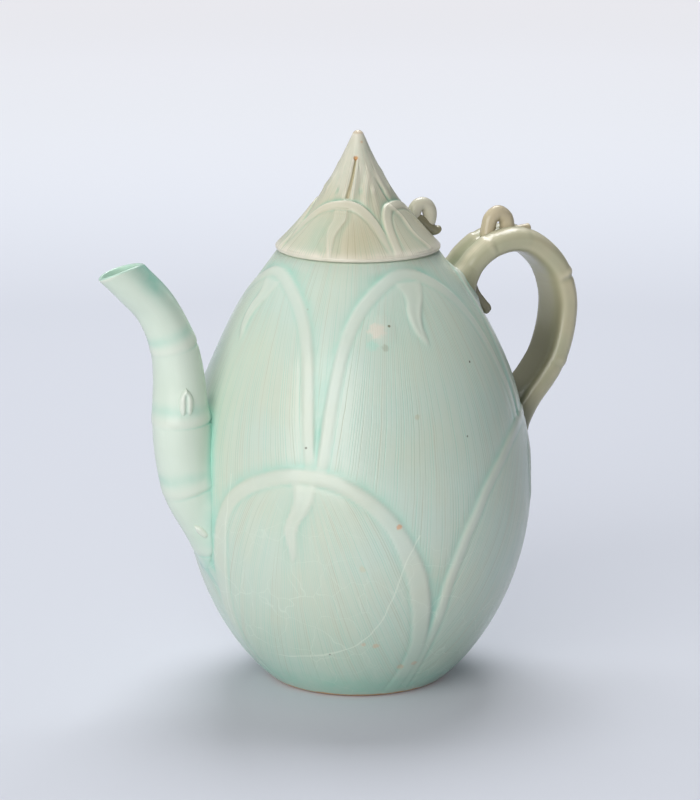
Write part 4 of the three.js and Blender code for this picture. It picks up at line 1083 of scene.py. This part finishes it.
def add(tree, kind, settings=None, inputs=None):
    """Adds a node, sets its properties and fills its inputs by name or number. An input is a number, a
    colour, another node's socket, or a node, which stands for its first output."""
    node = tree.nodes.new(kind)
    for key, value in (settings or {}).items():
        setattr(node, key, value)
    for key, value in (inputs or {}).items():
        if isinstance(key, str):
            socket = next(s for s in node.inputs if s.enabled and s.name == key)
        else:
            socket = node.inputs[key]
        if isinstance(value, bpy.types.Node):
            value = next(s for s in value.outputs if s.enabled)
        if isinstance(value, bpy.types.NodeSocket):
            tree.links.new(value, socket)
        else:
            socket.default_value = value
    return node


# %% [markdown]
# One recipe serves all the glazes, because they came from one bucket and one firing. Each piece only
# changes the colours: the glaze at normal thickness, where it is thick, and where it is thin. Sizes in
# the recipe are real: combed lines 1.1 mm apart, dimples of about 1.2 mm, crackle cells of about 14 mm.

# %% The celadon glaze
VEIN_SPACING = 1.1


def celadon(name, body, thick, thin, tint, line_tone="#b4b59d", lines=0.36, crackle=0.0, speck=1.0,
            foot=False):
    """Glazed stoneware. The colour is mixed from cloudy variation, thickness and lines in that order.
    lines, crackle and speck are the strengths of combed lines, of the net of crackle, which fades out
    above the vessel's lower half, and of the iron specks. foot leaves a rim of bare clay at the base."""
    material = bpy.data.materials.new(name)
    material.use_nodes = True
    tree = material.node_tree
    tree.nodes.clear()
    place = add(tree, "ShaderNodeTexCoord").outputs["Object"]
    field = {label: add(tree, "ShaderNodeAttribute", {"attribute_name": label}).outputs["Fac"]
             for label in ("pool_and_shade", "thin", "veins", "vein_depth")}

    cloud = add(tree, "ShaderNodeTexNoise", None, {"Vector": place, "Scale": 28.0, "Detail": 3.0})
    cloud_share = add(tree, "ShaderNodeMapRange", None,
                      {"Value": cloud.outputs[0], "From Min": 0.35, "From Max": 0.68})
    colour = add(tree, "ShaderNodeMix", {"data_type": "RGBA"},
                 {"Factor": cloud_share, "A": linear(body), "B": linear(tint)})

    uneven = add(tree, "ShaderNodeTexNoise", None, {"Vector": place, "Scale": 160.0, "Detail": 2.0})
    pool_edge = add(tree, "ShaderNodeMath", {"operation": "MULTIPLY"}, {0: uneven.outputs[0], 1: 1.5})
    pool_sum = add(tree, "ShaderNodeMath", {"operation": "ADD"}, {0: pool_edge, 1: 0.2})
    # This share of the thick glaze colour is glaze gathered in hollows, and also painted shade on the
    # vessel's lower wall and inside the spout's bore.
    pool_and_shade_share = add(tree, "ShaderNodeMath", {"operation": "MULTIPLY", "use_clamp": True},
                     {0: field["pool_and_shade"], 1: pool_sum})
    colour = add(tree, "ShaderNodeMix", {"data_type": "RGBA"},
                 {"Factor": pool_and_shade_share, "A": colour, "B": linear(thick)})
    thin_share = add(tree, "ShaderNodeMath", {"operation": "MULTIPLY", "use_clamp": True},
                     {0: field["thin"], 1: pool_sum})
    colour = add(tree, "ShaderNodeMix", {"data_type": "RGBA"},
                 {"Factor": thin_share, "A": colour, "B": linear(thin)})

    wander = add(tree, "ShaderNodeTexNoise", None, {"Vector": place, "Scale": 60.0, "Detail": 2.0})
    wander_by = add(tree, "ShaderNodeMath", {"operation": "MULTIPLY"}, {0: wander.outputs[0], 1: 1.1})
    comb = add(tree, "ShaderNodeMath", {"operation": "ADD"}, {0: field["veins"], 1: wander_by})
    comb_phase = add(tree, "ShaderNodeMath", {"operation": "DIVIDE"}, {0: comb, 1: VEIN_SPACING})
    comb_turn = add(tree, "ShaderNodeMath", {"operation": "FRACT"}, {0: comb_phase})
    comb_side = add(tree, "ShaderNodeMath", {"operation": "PINGPONG"}, {0: comb_turn, 1: 0.5})
    cut = add(tree, "ShaderNodeMapRange", {"interpolation_type": "SMOOTHSTEP"},
              {"Value": comb_side, "From Min": 0.0, "From Max": 0.28, "To Min": 1.0, "To Max": 0.0})
    parts = add(tree, "ShaderNodeSeparateXYZ", None, {0: place})
    slow = add(tree, "ShaderNodeMath", {"operation": "MULTIPLY"}, {0: parts.outputs[2], 1: 22.0})
    streak_place = add(tree, "ShaderNodeCombineXYZ", None, {0: comb, 1: slow})
    stroke = add(tree, "ShaderNodeTexNoise", {"noise_dimensions": "2D"},
                 {"Vector": streak_place, "Scale": 0.9, "Detail": 1.0})
    stroke_share = add(tree, "ShaderNodeMapRange", None,
                       {"Value": stroke.outputs[0], "From Min": 0.35, "From Max": 0.65})
    cut_depth = add(tree, "ShaderNodeMath", {"operation": "MULTIPLY"}, {0: cut, 1: field["vein_depth"]})
    cut_depth = add(tree, "ShaderNodeMath", {"operation": "MULTIPLY"}, {0: cut_depth, 1: stroke_share})
    cut_share = add(tree, "ShaderNodeMath", {"operation": "MULTIPLY"}, {0: cut_depth, 1: lines})
    line_kind = add(tree, "ShaderNodeTexNoise", {"noise_dimensions": "2D"},
                    {"Vector": streak_place, "Scale": 0.35, "Detail": 0.0})
    brown_share = add(tree, "ShaderNodeMapRange", None,
                      {"Value": line_kind.outputs[0], "From Min": 0.5, "From Max": 0.72})
    line_colour = add(tree, "ShaderNodeMix", {"data_type": "RGBA"},
                      {"Factor": brown_share, "A": linear(thick), "B": linear(line_tone)})
    colour = add(tree, "ShaderNodeMix", {"data_type": "RGBA"},
                 {"Factor": cut_share, "A": colour, "B": line_colour})

    height = add(tree, "ShaderNodeMath", {"operation": "MULTIPLY"}, {0: cut_depth, 1: -0.05})
    dimples = add(tree, "ShaderNodeTexNoise", None, {"Vector": place, "Scale": 800.0, "Detail": 1.0})
    dimple_height = add(tree, "ShaderNodeMath", {"operation": "MULTIPLY"}, {0: dimples.outputs[0], 1: 0.012})
    waves = add(tree, "ShaderNodeTexNoise", None, {"Vector": place, "Scale": 120.0, "Detail": 1.0})
    wave_height = add(tree, "ShaderNodeMath", {"operation": "MULTIPLY"}, {0: waves.outputs[0], 1: 0.12})
    height = add(tree, "ShaderNodeMath", {"operation": "ADD"}, {0: height, 1: dimple_height})
    height = add(tree, "ShaderNodeMath", {"operation": "ADD"}, {0: height, 1: wave_height})

    if crackle:
        bend = add(tree, "ShaderNodeTexNoise", None, {"Vector": place, "Scale": 70.0, "Detail": 2.0})
        bend_by = add(tree, "ShaderNodeVectorMath", {"operation": "SCALE"},
                      {0: bend.outputs[1], "Scale": 0.012})
        bent = add(tree, "ShaderNodeVectorMath", {"operation": "ADD"}, {0: place, 1: bend_by})
        net = add(tree, "ShaderNodeTexVoronoi", {"feature": "DISTANCE_TO_EDGE"},
                  {"Vector": bent, "Scale": 70.0})
        line = add(tree, "ShaderNodeMapRange", {"interpolation_type": "SMOOTHSTEP"},
                   {"Value": net.outputs[0], "From Min": 0.0, "From Max": 0.018,
                    "To Min": 1.0, "To Max": 0.0})
        low = add(tree, "ShaderNodeMapRange", None,
                  {"Value": parts.outputs[2], "From Min": 0.11, "From Max": 0.05})
        patch = add(tree, "ShaderNodeMapRange", None,
                    {"Value": cloud.outputs[0], "From Min": 0.38, "From Max": 0.52})
        line_share = add(tree, "ShaderNodeMath", {"operation": "MULTIPLY"}, {0: line, 1: low})
        line_share = add(tree, "ShaderNodeMath", {"operation": "MULTIPLY"}, {0: line_share, 1: patch})
        line_share = add(tree, "ShaderNodeMath", {"operation": "MULTIPLY"}, {0: line_share, 1: crackle})
        colour = add(tree, "ShaderNodeMix", {"data_type": "RGBA"},
                     {"Factor": line_share, "A": colour, "B": linear("#e2efe0")})

    specks = add(tree, "ShaderNodeTexVoronoi", None, {"Vector": place, "Scale": 110.0})
    speck_size = add(tree, "ShaderNodeMapRange", None,
                     {"Value": specks.outputs[0], "From Min": 0.05, "From Max": 0.09,
                      "To Min": 1.0, "To Max": 0.0})
    chosen = add(tree, "ShaderNodeSeparateColor", None, {0: specks.outputs[1]})
    rare = add(tree, "ShaderNodeMath", {"operation": "GREATER_THAN"}, {0: chosen.outputs[0], 1: 0.985})
    speck_share = add(tree, "ShaderNodeMath", {"operation": "MULTIPLY"}, {0: speck_size, 1: rare})
    speck_share = add(tree, "ShaderNodeMath", {"operation": "MULTIPLY"}, {0: speck_share, 1: 0.7 * speck})
    colour = add(tree, "ShaderNodeMix", {"data_type": "RGBA"},
                 {"Factor": speck_share, "A": colour, "B": linear("#8b7a58")})

    if foot:
        edge_wander = add(tree, "ShaderNodeMath", {"operation": "MULTIPLY"},
                          {0: uneven.outputs[0], 1: 0.0018})
        edge_height = add(tree, "ShaderNodeMath", {"operation": "ADD"},
                          {0: parts.outputs[2], 1: edge_wander})
        edge = add(tree, "ShaderNodeMapRange", None,
                   {"Value": edge_height, "From Min": 0.0027, "From Max": 0.0019})
        colour = add(tree, "ShaderNodeMix", {"data_type": "RGBA"},
                     {"Factor": edge, "A": colour, "B": linear("#d3a578")})

    skin = add(tree, "ShaderNodeBump", None, {"Strength": 0.9, "Distance": 0.001, "Height": height})
    shader = add(tree, "ShaderNodeBsdfPrincipled", None,
                 {"Base Color": colour, "Roughness": 0.24, "IOR": 1.5, "Normal": skin})
    add(tree, "ShaderNodeOutputMaterial", None, {"Surface": shader})
    return material, tree, shader, colour


# %% [markdown]
# The vessel is blue-green, its spout paler. The handle stood where air reached it, so its glaze is olive,
# with painted shade on the flat inner face and the darkest painted shade inside its lower root. The loops
# and the flange under the lid carry thin buff glaze. More colours run over single places, by the shares
# stored on the meshes: the turquoise bead and the painted shade in the notch beside the spout, olive and
# bare clay on the lid, and the handle's painted shade.

# %% Glazes by area
vessel_glaze, vessel_tree, vessel_shader, vessel_colour = celadon(
    "celadon_vessel", "#c6d7ca", "#a5d1bf", "#dddfd3", "#cad5c3", lines=0.6, crackle=0.3, speck=0.7,
    foot=True)
spout_glaze, spout_tree, spout_shader, spout_colour = celadon(
    "celadon_spout", "#d4e1d3", "#a2d3c1", "#e3e4d8", "#cfddcd", speck=0.6)
lid_glaze, lid_tree, lid_shader, lid_colour = celadon(
    "celadon_lid", "#c4cab6", "#a3c0a9", "#e0dbca", "#cbc6ad", line_tone="#959173", lines=0.62)
handle_glaze, handle_tree, handle_shader, handle_colour = celadon(
    "celadon_handle_olive", "#c4bb9d", "#949a7f", "#d9d1b6", "#aeb295", line_tone="#a39977")
loop_glaze = celadon("celadon_loop_buff", "#bfb294", "#857c60", "#d6c9ac", "#b9b093",
                     line_tone="#a08f69", speck=0.5)[0]
cord_glaze = celadon("celadon_cord_grey", "#dad6c2", "#96957d", "#e6e1cf", "#ccc9b2",
                     line_tone="#9a9478", speck=0.5)[0]


def run_on(tree, shader, colour, share, hex_colour):
    """Mixes one more colour over a glaze by a share and feeds the shader with it."""
    mixed = add(tree, "ShaderNodeMix", {"data_type": "RGBA"},
                {"Factor": share, "A": colour, "B": linear(hex_colour)})
    tree.links.new(next(s for s in mixed.outputs if s.enabled), shader.inputs["Base Color"])
    return mixed


BEAD_COLOUR = "#8fd0bc"
bead_share = add(spout_tree, "ShaderNodeAttribute", {"attribute_name": "bead"}).outputs["Fac"]
run_on(spout_tree, spout_shader, spout_colour, bead_share, BEAD_COLOUR)
# The bead is thick glaze; the notch colour is painted shade.
for label, hex_colour in [("bead", BEAD_COLOUR), ("notch", "#6d8379")]:
    share = add(vessel_tree, "ShaderNodeAttribute", {"attribute_name": label}).outputs["Fac"]
    vessel_colour = run_on(vessel_tree, vessel_shader, vessel_colour, share, hex_colour)
for label, hex_colour in [("olive", "#b7ae8c"), ("bare", "#cf9a60")]:
    share = add(lid_tree, "ShaderNodeAttribute", {"attribute_name": label}).outputs["Fac"]
    lid_colour = run_on(lid_tree, lid_shader, lid_colour, share, hex_colour)
# Painted shade on the handle: its shaded and deep colours.
for label, hex_colour in [("shaded", "#8f8a6e"), ("deep", "#35382b")]:
    share = add(handle_tree, "ShaderNodeAttribute", {"attribute_name": label}).outputs["Fac"]
    handle_colour = run_on(handle_tree, handle_shader, handle_colour, share, hex_colour)
print("glazes:", [glaze.name for glaze in (vessel_glaze, spout_glaze, lid_glaze, handle_glaze, loop_glaze,
                                           cord_glaze)])

# %% [markdown]
# The vessel bears marks of its own: pinholes that burst in the glaze, chips where the clay shows orange,
# a pinkish bruise under the right tongue, and two long pale cracks. A mark is a spot round a point on the
# wall, with an edge that wanders, and is given as degrees, height and size in mm, strength and colour.
# The cracks come from the distances stored on the mesh.

# %% Marks on the vessel
MARKS = [(-106.6, 161.5, 3.6, 0.5, "#e9d8c8"), (-108.9, 156.1, 2.4, 0.5, "#b0dccb"),
         (-103.3, 155.1, 1.7, 0.35, "#8f8c70"), (-100.6, 163.1, 0.6, 0.8, "#6b6648"),
         (-126.7, 24.9, 0.55, 0.95, "#33352a"), (-65.1, 145.9, 0.6, 0.9, "#4a4030"),
         (-75.1, 117.7, 0.5, 0.7, "#5f6653"), (-132.6, 116.0, 0.55, 0.75, "#5b5a4a"),
         (-101.9, 84.0, 1.3, 0.7, "#dda377"), (-108.0, 29.3, 1.5, 0.45, "#dcb590"),
         (-112.9, 30.2, 1.2, 0.4, "#dcb590"), (-95.4, 17.2, 1.6, 0.45, "#dcb590"),
         (-89.0, 18.4, 1.3, 0.4, "#dcb590"), (-113.5, 66.0, 1.6, 0.35, "#cfc3a0"),
         (-94.0, 128.0, 1.2, 0.3, "#b8a880")]
vessel_place = add(vessel_tree, "ShaderNodeTexCoord").outputs["Object"]
edge_noise = add(vessel_tree, "ShaderNodeTexNoise", None,
                 {"Vector": vessel_place, "Scale": 420.0, "Detail": 2.0})
edge_shift = add(vessel_tree, "ShaderNodeMath", {"operation": "MULTIPLY_ADD"},
                 {0: edge_noise.outputs[0], 1: 0.0016, 2: -0.0008})
for degrees, height, size, strength, hex_colour in MARKS:
    reach, turned = float(body_radius(height)) * MILLIMETRE, np.radians(degrees)
    spot = (reach * np.cos(turned), reach * np.sin(turned), height * MILLIMETRE)
    away = add(vessel_tree, "ShaderNodeVectorMath", {"operation": "DISTANCE"}, {0: vessel_place, 1: spot})
    rough = add(vessel_tree, "ShaderNodeMath", {"operation": "MULTIPLY_ADD"},
                {0: edge_shift, 1: size, 2: away.outputs["Value"]})
    share = add(vessel_tree, "ShaderNodeMapRange", {"interpolation_type": "SMOOTHSTEP"},
                {"Value": rough, "From Min": 0.5 * size * MILLIMETRE, "From Max": 1.2 * size * MILLIMETRE,
                 "To Min": strength, "To Max": 0.0})
    vessel_colour = run_on(vessel_tree, vessel_shader, vessel_colour, share, hex_colour)
slow_noise = add(vessel_tree, "ShaderNodeTexNoise", None,
                 {"Vector": vessel_place, "Scale": 55.0, "Detail": 3.0})
for label, strength in [("long_crack", 0.42), ("side_crack", 0.28)]:
    past = add(vessel_tree, "ShaderNodeAttribute", {"attribute_name": label}).outputs["Fac"]
    drift = add(vessel_tree, "ShaderNodeMath", {"operation": "MULTIPLY_ADD"},
                {0: slow_noise.outputs[0], 1: 3.0, 2: past})
    side = add(vessel_tree, "ShaderNodeMath", {"operation": "ABSOLUTE"}, {0: drift})
    share = add(vessel_tree, "ShaderNodeMapRange", {"interpolation_type": "SMOOTHSTEP"},
                {"Value": side, "From Min": 0.1, "From Max": 0.5, "To Min": strength, "To Max": 0.0})
    vessel_colour = run_on(vessel_tree, vessel_shader, vessel_colour, share, "#e9f1e2")
print("marks and cracks on the vessel:", len(MARKS) + 2)

# %% [markdown]
# Each piece takes its glaze, rides on its body, and stands in for its plain solid, which is hidden.
# The table also gives the record's finish that each piece stands for.

# %% Dress the pieces
DRESSING = [(vessel, "body", "vessel", vessel_glaze, "body_glaze"),
            (spout, "spout", "vessel", spout_glaze, "spout_glaze"),
            (bud_high, "spout_bud_upper", "vessel", spout_glaze, "spout_glaze"),
            (bud_low, "spout_bud_lower", "vessel", spout_glaze, "spout_glaze"),
            (handle, "handle", "vessel", handle_glaze, "handle_glaze"),
            (handle_tongue, "handle_tongue", "vessel", handle_glaze, "handle_glaze"),
            (handle_loop, "handle_loop", "vessel", loop_glaze, "loop_glaze"),
            (handle_nub, "handle_loop_tail", "vessel", loop_glaze, "loop_glaze"),
            (lid, "lid", "lid", lid_glaze, "lid_glaze"),
            (flange, "lid_flange", "lid", loop_glaze, "lid_glaze"),
            (lid_loop, "lid_loop", "lid", cord_glaze, "loop_glaze"),
            (lid_tail, "lid_loop_tail", "lid", handle_glaze, "loop_glaze")]
for piece, node, body, glaze, slot in DRESSING:
    piece.data.materials.append(glaze)
    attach(piece, body)
    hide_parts(node)
print("pieces dressed:", len(DRESSING))

# %% [markdown]
# The ewer stands on pale paper in soft studio light. The paper is one flat sheet, so large that no
# horizon shows, and its colour changes slowly from grey round the ewer to white far from it: painted
# light and shade that stand in for how the lamps fall off over a lit backdrop. The pale parts come from
# its colour, and from a little lift that only the camera and reflections see, so the light on the ewer
# stays as it is.

# %% Floor
VIEW_ANGLE = np.radians(-25.0)
back = np.array([np.sin(VIEW_ANGLE), -np.cos(VIEW_ANGLE), 0.0])
right = np.array([np.cos(VIEW_ANGLE), np.sin(VIEW_ANGLE), 0.0])

floor_mesh = bpy.data.meshes.new("floor")
FLOOR_REACH, FLOOR_ROWS, FLOOR_COLUMNS = 12.0, 15, 13
across, depth = np.meshgrid(np.linspace(-FLOOR_REACH, FLOOR_REACH, FLOOR_COLUMNS),
                            np.linspace(-FLOOR_REACH, FLOOR_REACH, FLOOR_ROWS))
floor_points = across[..., None] * right - depth[..., None] * back
cells = np.arange(FLOOR_ROWS * FLOOR_COLUMNS).reshape(FLOOR_ROWS, FLOOR_COLUMNS)
floor_faces = np.stack([cells[:-1, :-1], cells[:-1, 1:], cells[1:, 1:], cells[1:, :-1]], axis=-1)
floor_mesh.from_pydata(floor_points.reshape(-1, 3).tolist(), [], floor_faces.reshape(-1, 4).tolist())
floor = bpy.data.objects.new("floor", floor_mesh)
bpy.context.scene.collection.objects.link(floor)

paper = bpy.data.materials.new("backdrop_paper")
paper.use_nodes = True
paper_tree = paper.node_tree
paper_tree.nodes.clear()
paper_place = add(paper_tree, "ShaderNodeTexCoord").outputs["Object"]
paper_far = add(paper_tree, "ShaderNodeVectorMath", {"operation": "LENGTH"}, {0: paper_place})
paper_share = add(paper_tree, "ShaderNodeMapRange", None,
                  {"Value": paper_far.outputs["Value"], "From Min": -0.3, "From Max": 2.7})
paper_ramp = add(paper_tree, "ShaderNodeValToRGB", None, {"Fac": paper_share})
NEAR_LIFT, FAR_LIFT = 0.12, 0.55
# Painted light and shade on the paper: grey near the ewer, white far from it.
PAPER_STOPS = [(0.0, "#c1c4c9"), (0.13, "#c5c8cf"), (0.38, "#c2c5cc"), (0.51, "#cccfd5"), (0.68, "#d8dade"),
               (0.79, "#e1e2e6"), (0.92, "#e8e8eb"), (1.0, "#ecebee")]
ramp = paper_ramp.color_ramp
while len(ramp.elements) < len(PAPER_STOPS):
    ramp.elements.new(0.5)
for element, (position, hex_colour) in zip(ramp.elements, PAPER_STOPS):
    element.position = position
    element.color = linear(hex_colour)
paper_shader = add(paper_tree, "ShaderNodeBsdfDiffuse", None, {"Color": paper_ramp.outputs[0]})
ray = add(paper_tree, "ShaderNodeLightPath")
seen = add(paper_tree, "ShaderNodeMath", {"operation": "MAXIMUM"},
           {0: ray.outputs["Is Camera Ray"], 1: ray.outputs["Is Glossy Ray"]})
seen = add(paper_tree, "ShaderNodeMath", {"operation": "MAXIMUM"},
           {0: seen, 1: ray.outputs["Is Transmission Ray"]})
lift_here = add(paper_tree, "ShaderNodeMapRange", None,
                {"Value": paper_far.outputs["Value"], "From Min": 0.8, "From Max": 2.6,
                 "To Min": NEAR_LIFT, "To Max": FAR_LIFT})
lift = add(paper_tree, "ShaderNodeMath", {"operation": "MULTIPLY"}, {0: seen, 1: lift_here})
glow = add(paper_tree, "ShaderNodeEmission", None, {"Color": paper_ramp.outputs[0], "Strength": lift})
paper_sum = add(paper_tree, "ShaderNodeAddShader", None, {0: paper_shader, 1: glow})
add(paper_tree, "ShaderNodeOutputMaterial", None, {"Surface": paper_sum})
floor_mesh.materials.append(paper)

# %% [markdown]
# One broad lamp stands to the left of the camera and above it, and gives the form its light. A second
# one hangs behind and above. It brightens the lid and the top of the handle, and draws the soft shadow
# forward over the paper. The world around is a plain grey-white that fills the shadows, as the walls of a
# studio do, and it is darker on the right, away from the lamp.

# %% Light
world = bpy.data.worlds.new("studio")
bpy.context.scene.world = world
world.use_nodes = True
world_tree = world.node_tree
world_tree.nodes.clear()
sky_place = add(world_tree, "ShaderNodeTexCoord").outputs["Generated"]
sideways = add(world_tree, "ShaderNodeVectorMath", {"operation": "DOT_PRODUCT"},
               {0: sky_place, 1: tuple(right)})
room_light = add(world_tree, "ShaderNodeMapRange", None,
                 {"Value": sideways.outputs["Value"], "From Min": -0.8, "From Max": 0.8,
                  "To Min": 0.37, "To Max": 0.1})
room = add(world_tree, "ShaderNodeBackground", None, {"Color": linear("#eff1fa"), "Strength": room_light})
add(world_tree, "ShaderNodeOutputWorld", None, {"Surface": room})


def aim(thing, place, target):
    """Puts a lamp or camera at a place and points its -Z axis at the target, with Z up."""
    thing.location = Vector(place)
    thing.rotation_euler = (Vector(target) - Vector(place)).to_track_quat("-Z", "Y").to_euler()


def soft_lamp(name, place, target, size, power, colour):
    """A square area lamp of a size in metres and a power in watts."""
    lamp = bpy.data.lights.new(name, "AREA")
    lamp.shape = "SQUARE"
    lamp.size = size
    lamp.energy = power
    lamp.color = linear(colour)[:3]
    lamp_object = bpy.data.objects.new(name, lamp)
    bpy.context.scene.collection.objects.link(lamp_object)
    aim(lamp_object, place, target)
    return lamp_object


key_place = 2.3 * (0.86 * back - 0.38 * right + np.array([0, 0, 0.38]))
soft_lamp("key_light", key_place, (0, 0, 0.1), 2.0, 46.0, "#fffdfa")
top_place = 2.2 * (-0.47 * back + np.array([0, 0, 0.88]))
soft_lamp("top_light", top_place, (0, 0, 0.1), 1.3, 40.0, "#fbfcff")

# %% [markdown]
# The camera stands 1.5 m away and 46 cm up. It looks 25 degrees off square to the middle plane, from the
# spout's side, and is tilted down by 12.7 degrees. Its focal length is worked out from the picture: 3597
# pixels for an image whose longer side is 800 pixels, on a sensor 36 mm long.

# %% Camera
PICTURE_LONG_SIDE, SENSOR, FOCAL_PIXELS = 800, 36.0, 3597.0
CAMERA_DISTANCE, CAMERA_HEIGHT, CAMERA_SIDE, CAMERA_TILT = 1.5, 0.459, -0.00338, 0.2217
camera_data = bpy.data.cameras.new("camera")
camera_data.sensor_width = SENSOR
camera_data.lens = FOCAL_PIXELS * SENSOR / PICTURE_LONG_SIDE
camera_data.clip_end = 50.0
camera = bpy.data.objects.new("camera", camera_data)
bpy.context.scene.collection.objects.link(camera)
eye = back * CAMERA_DISTANCE + right * CAMERA_SIDE + np.array([0, 0, CAMERA_HEIGHT])
forward = -back * np.cos(CAMERA_TILT) - np.array([0, 0, np.sin(CAMERA_TILT)])
upward = np.cross(right, forward)
turn = Matrix(np.stack([right, upward, -forward], axis=1).tolist()).to_4x4()
camera.matrix_world = Matrix.Translation(Vector(eye)) @ turn
bpy.context.scene.camera = camera
bpy.context.scene.view_settings.view_transform = "Standard"
print("lens, mm:", round(camera_data.lens, 1))
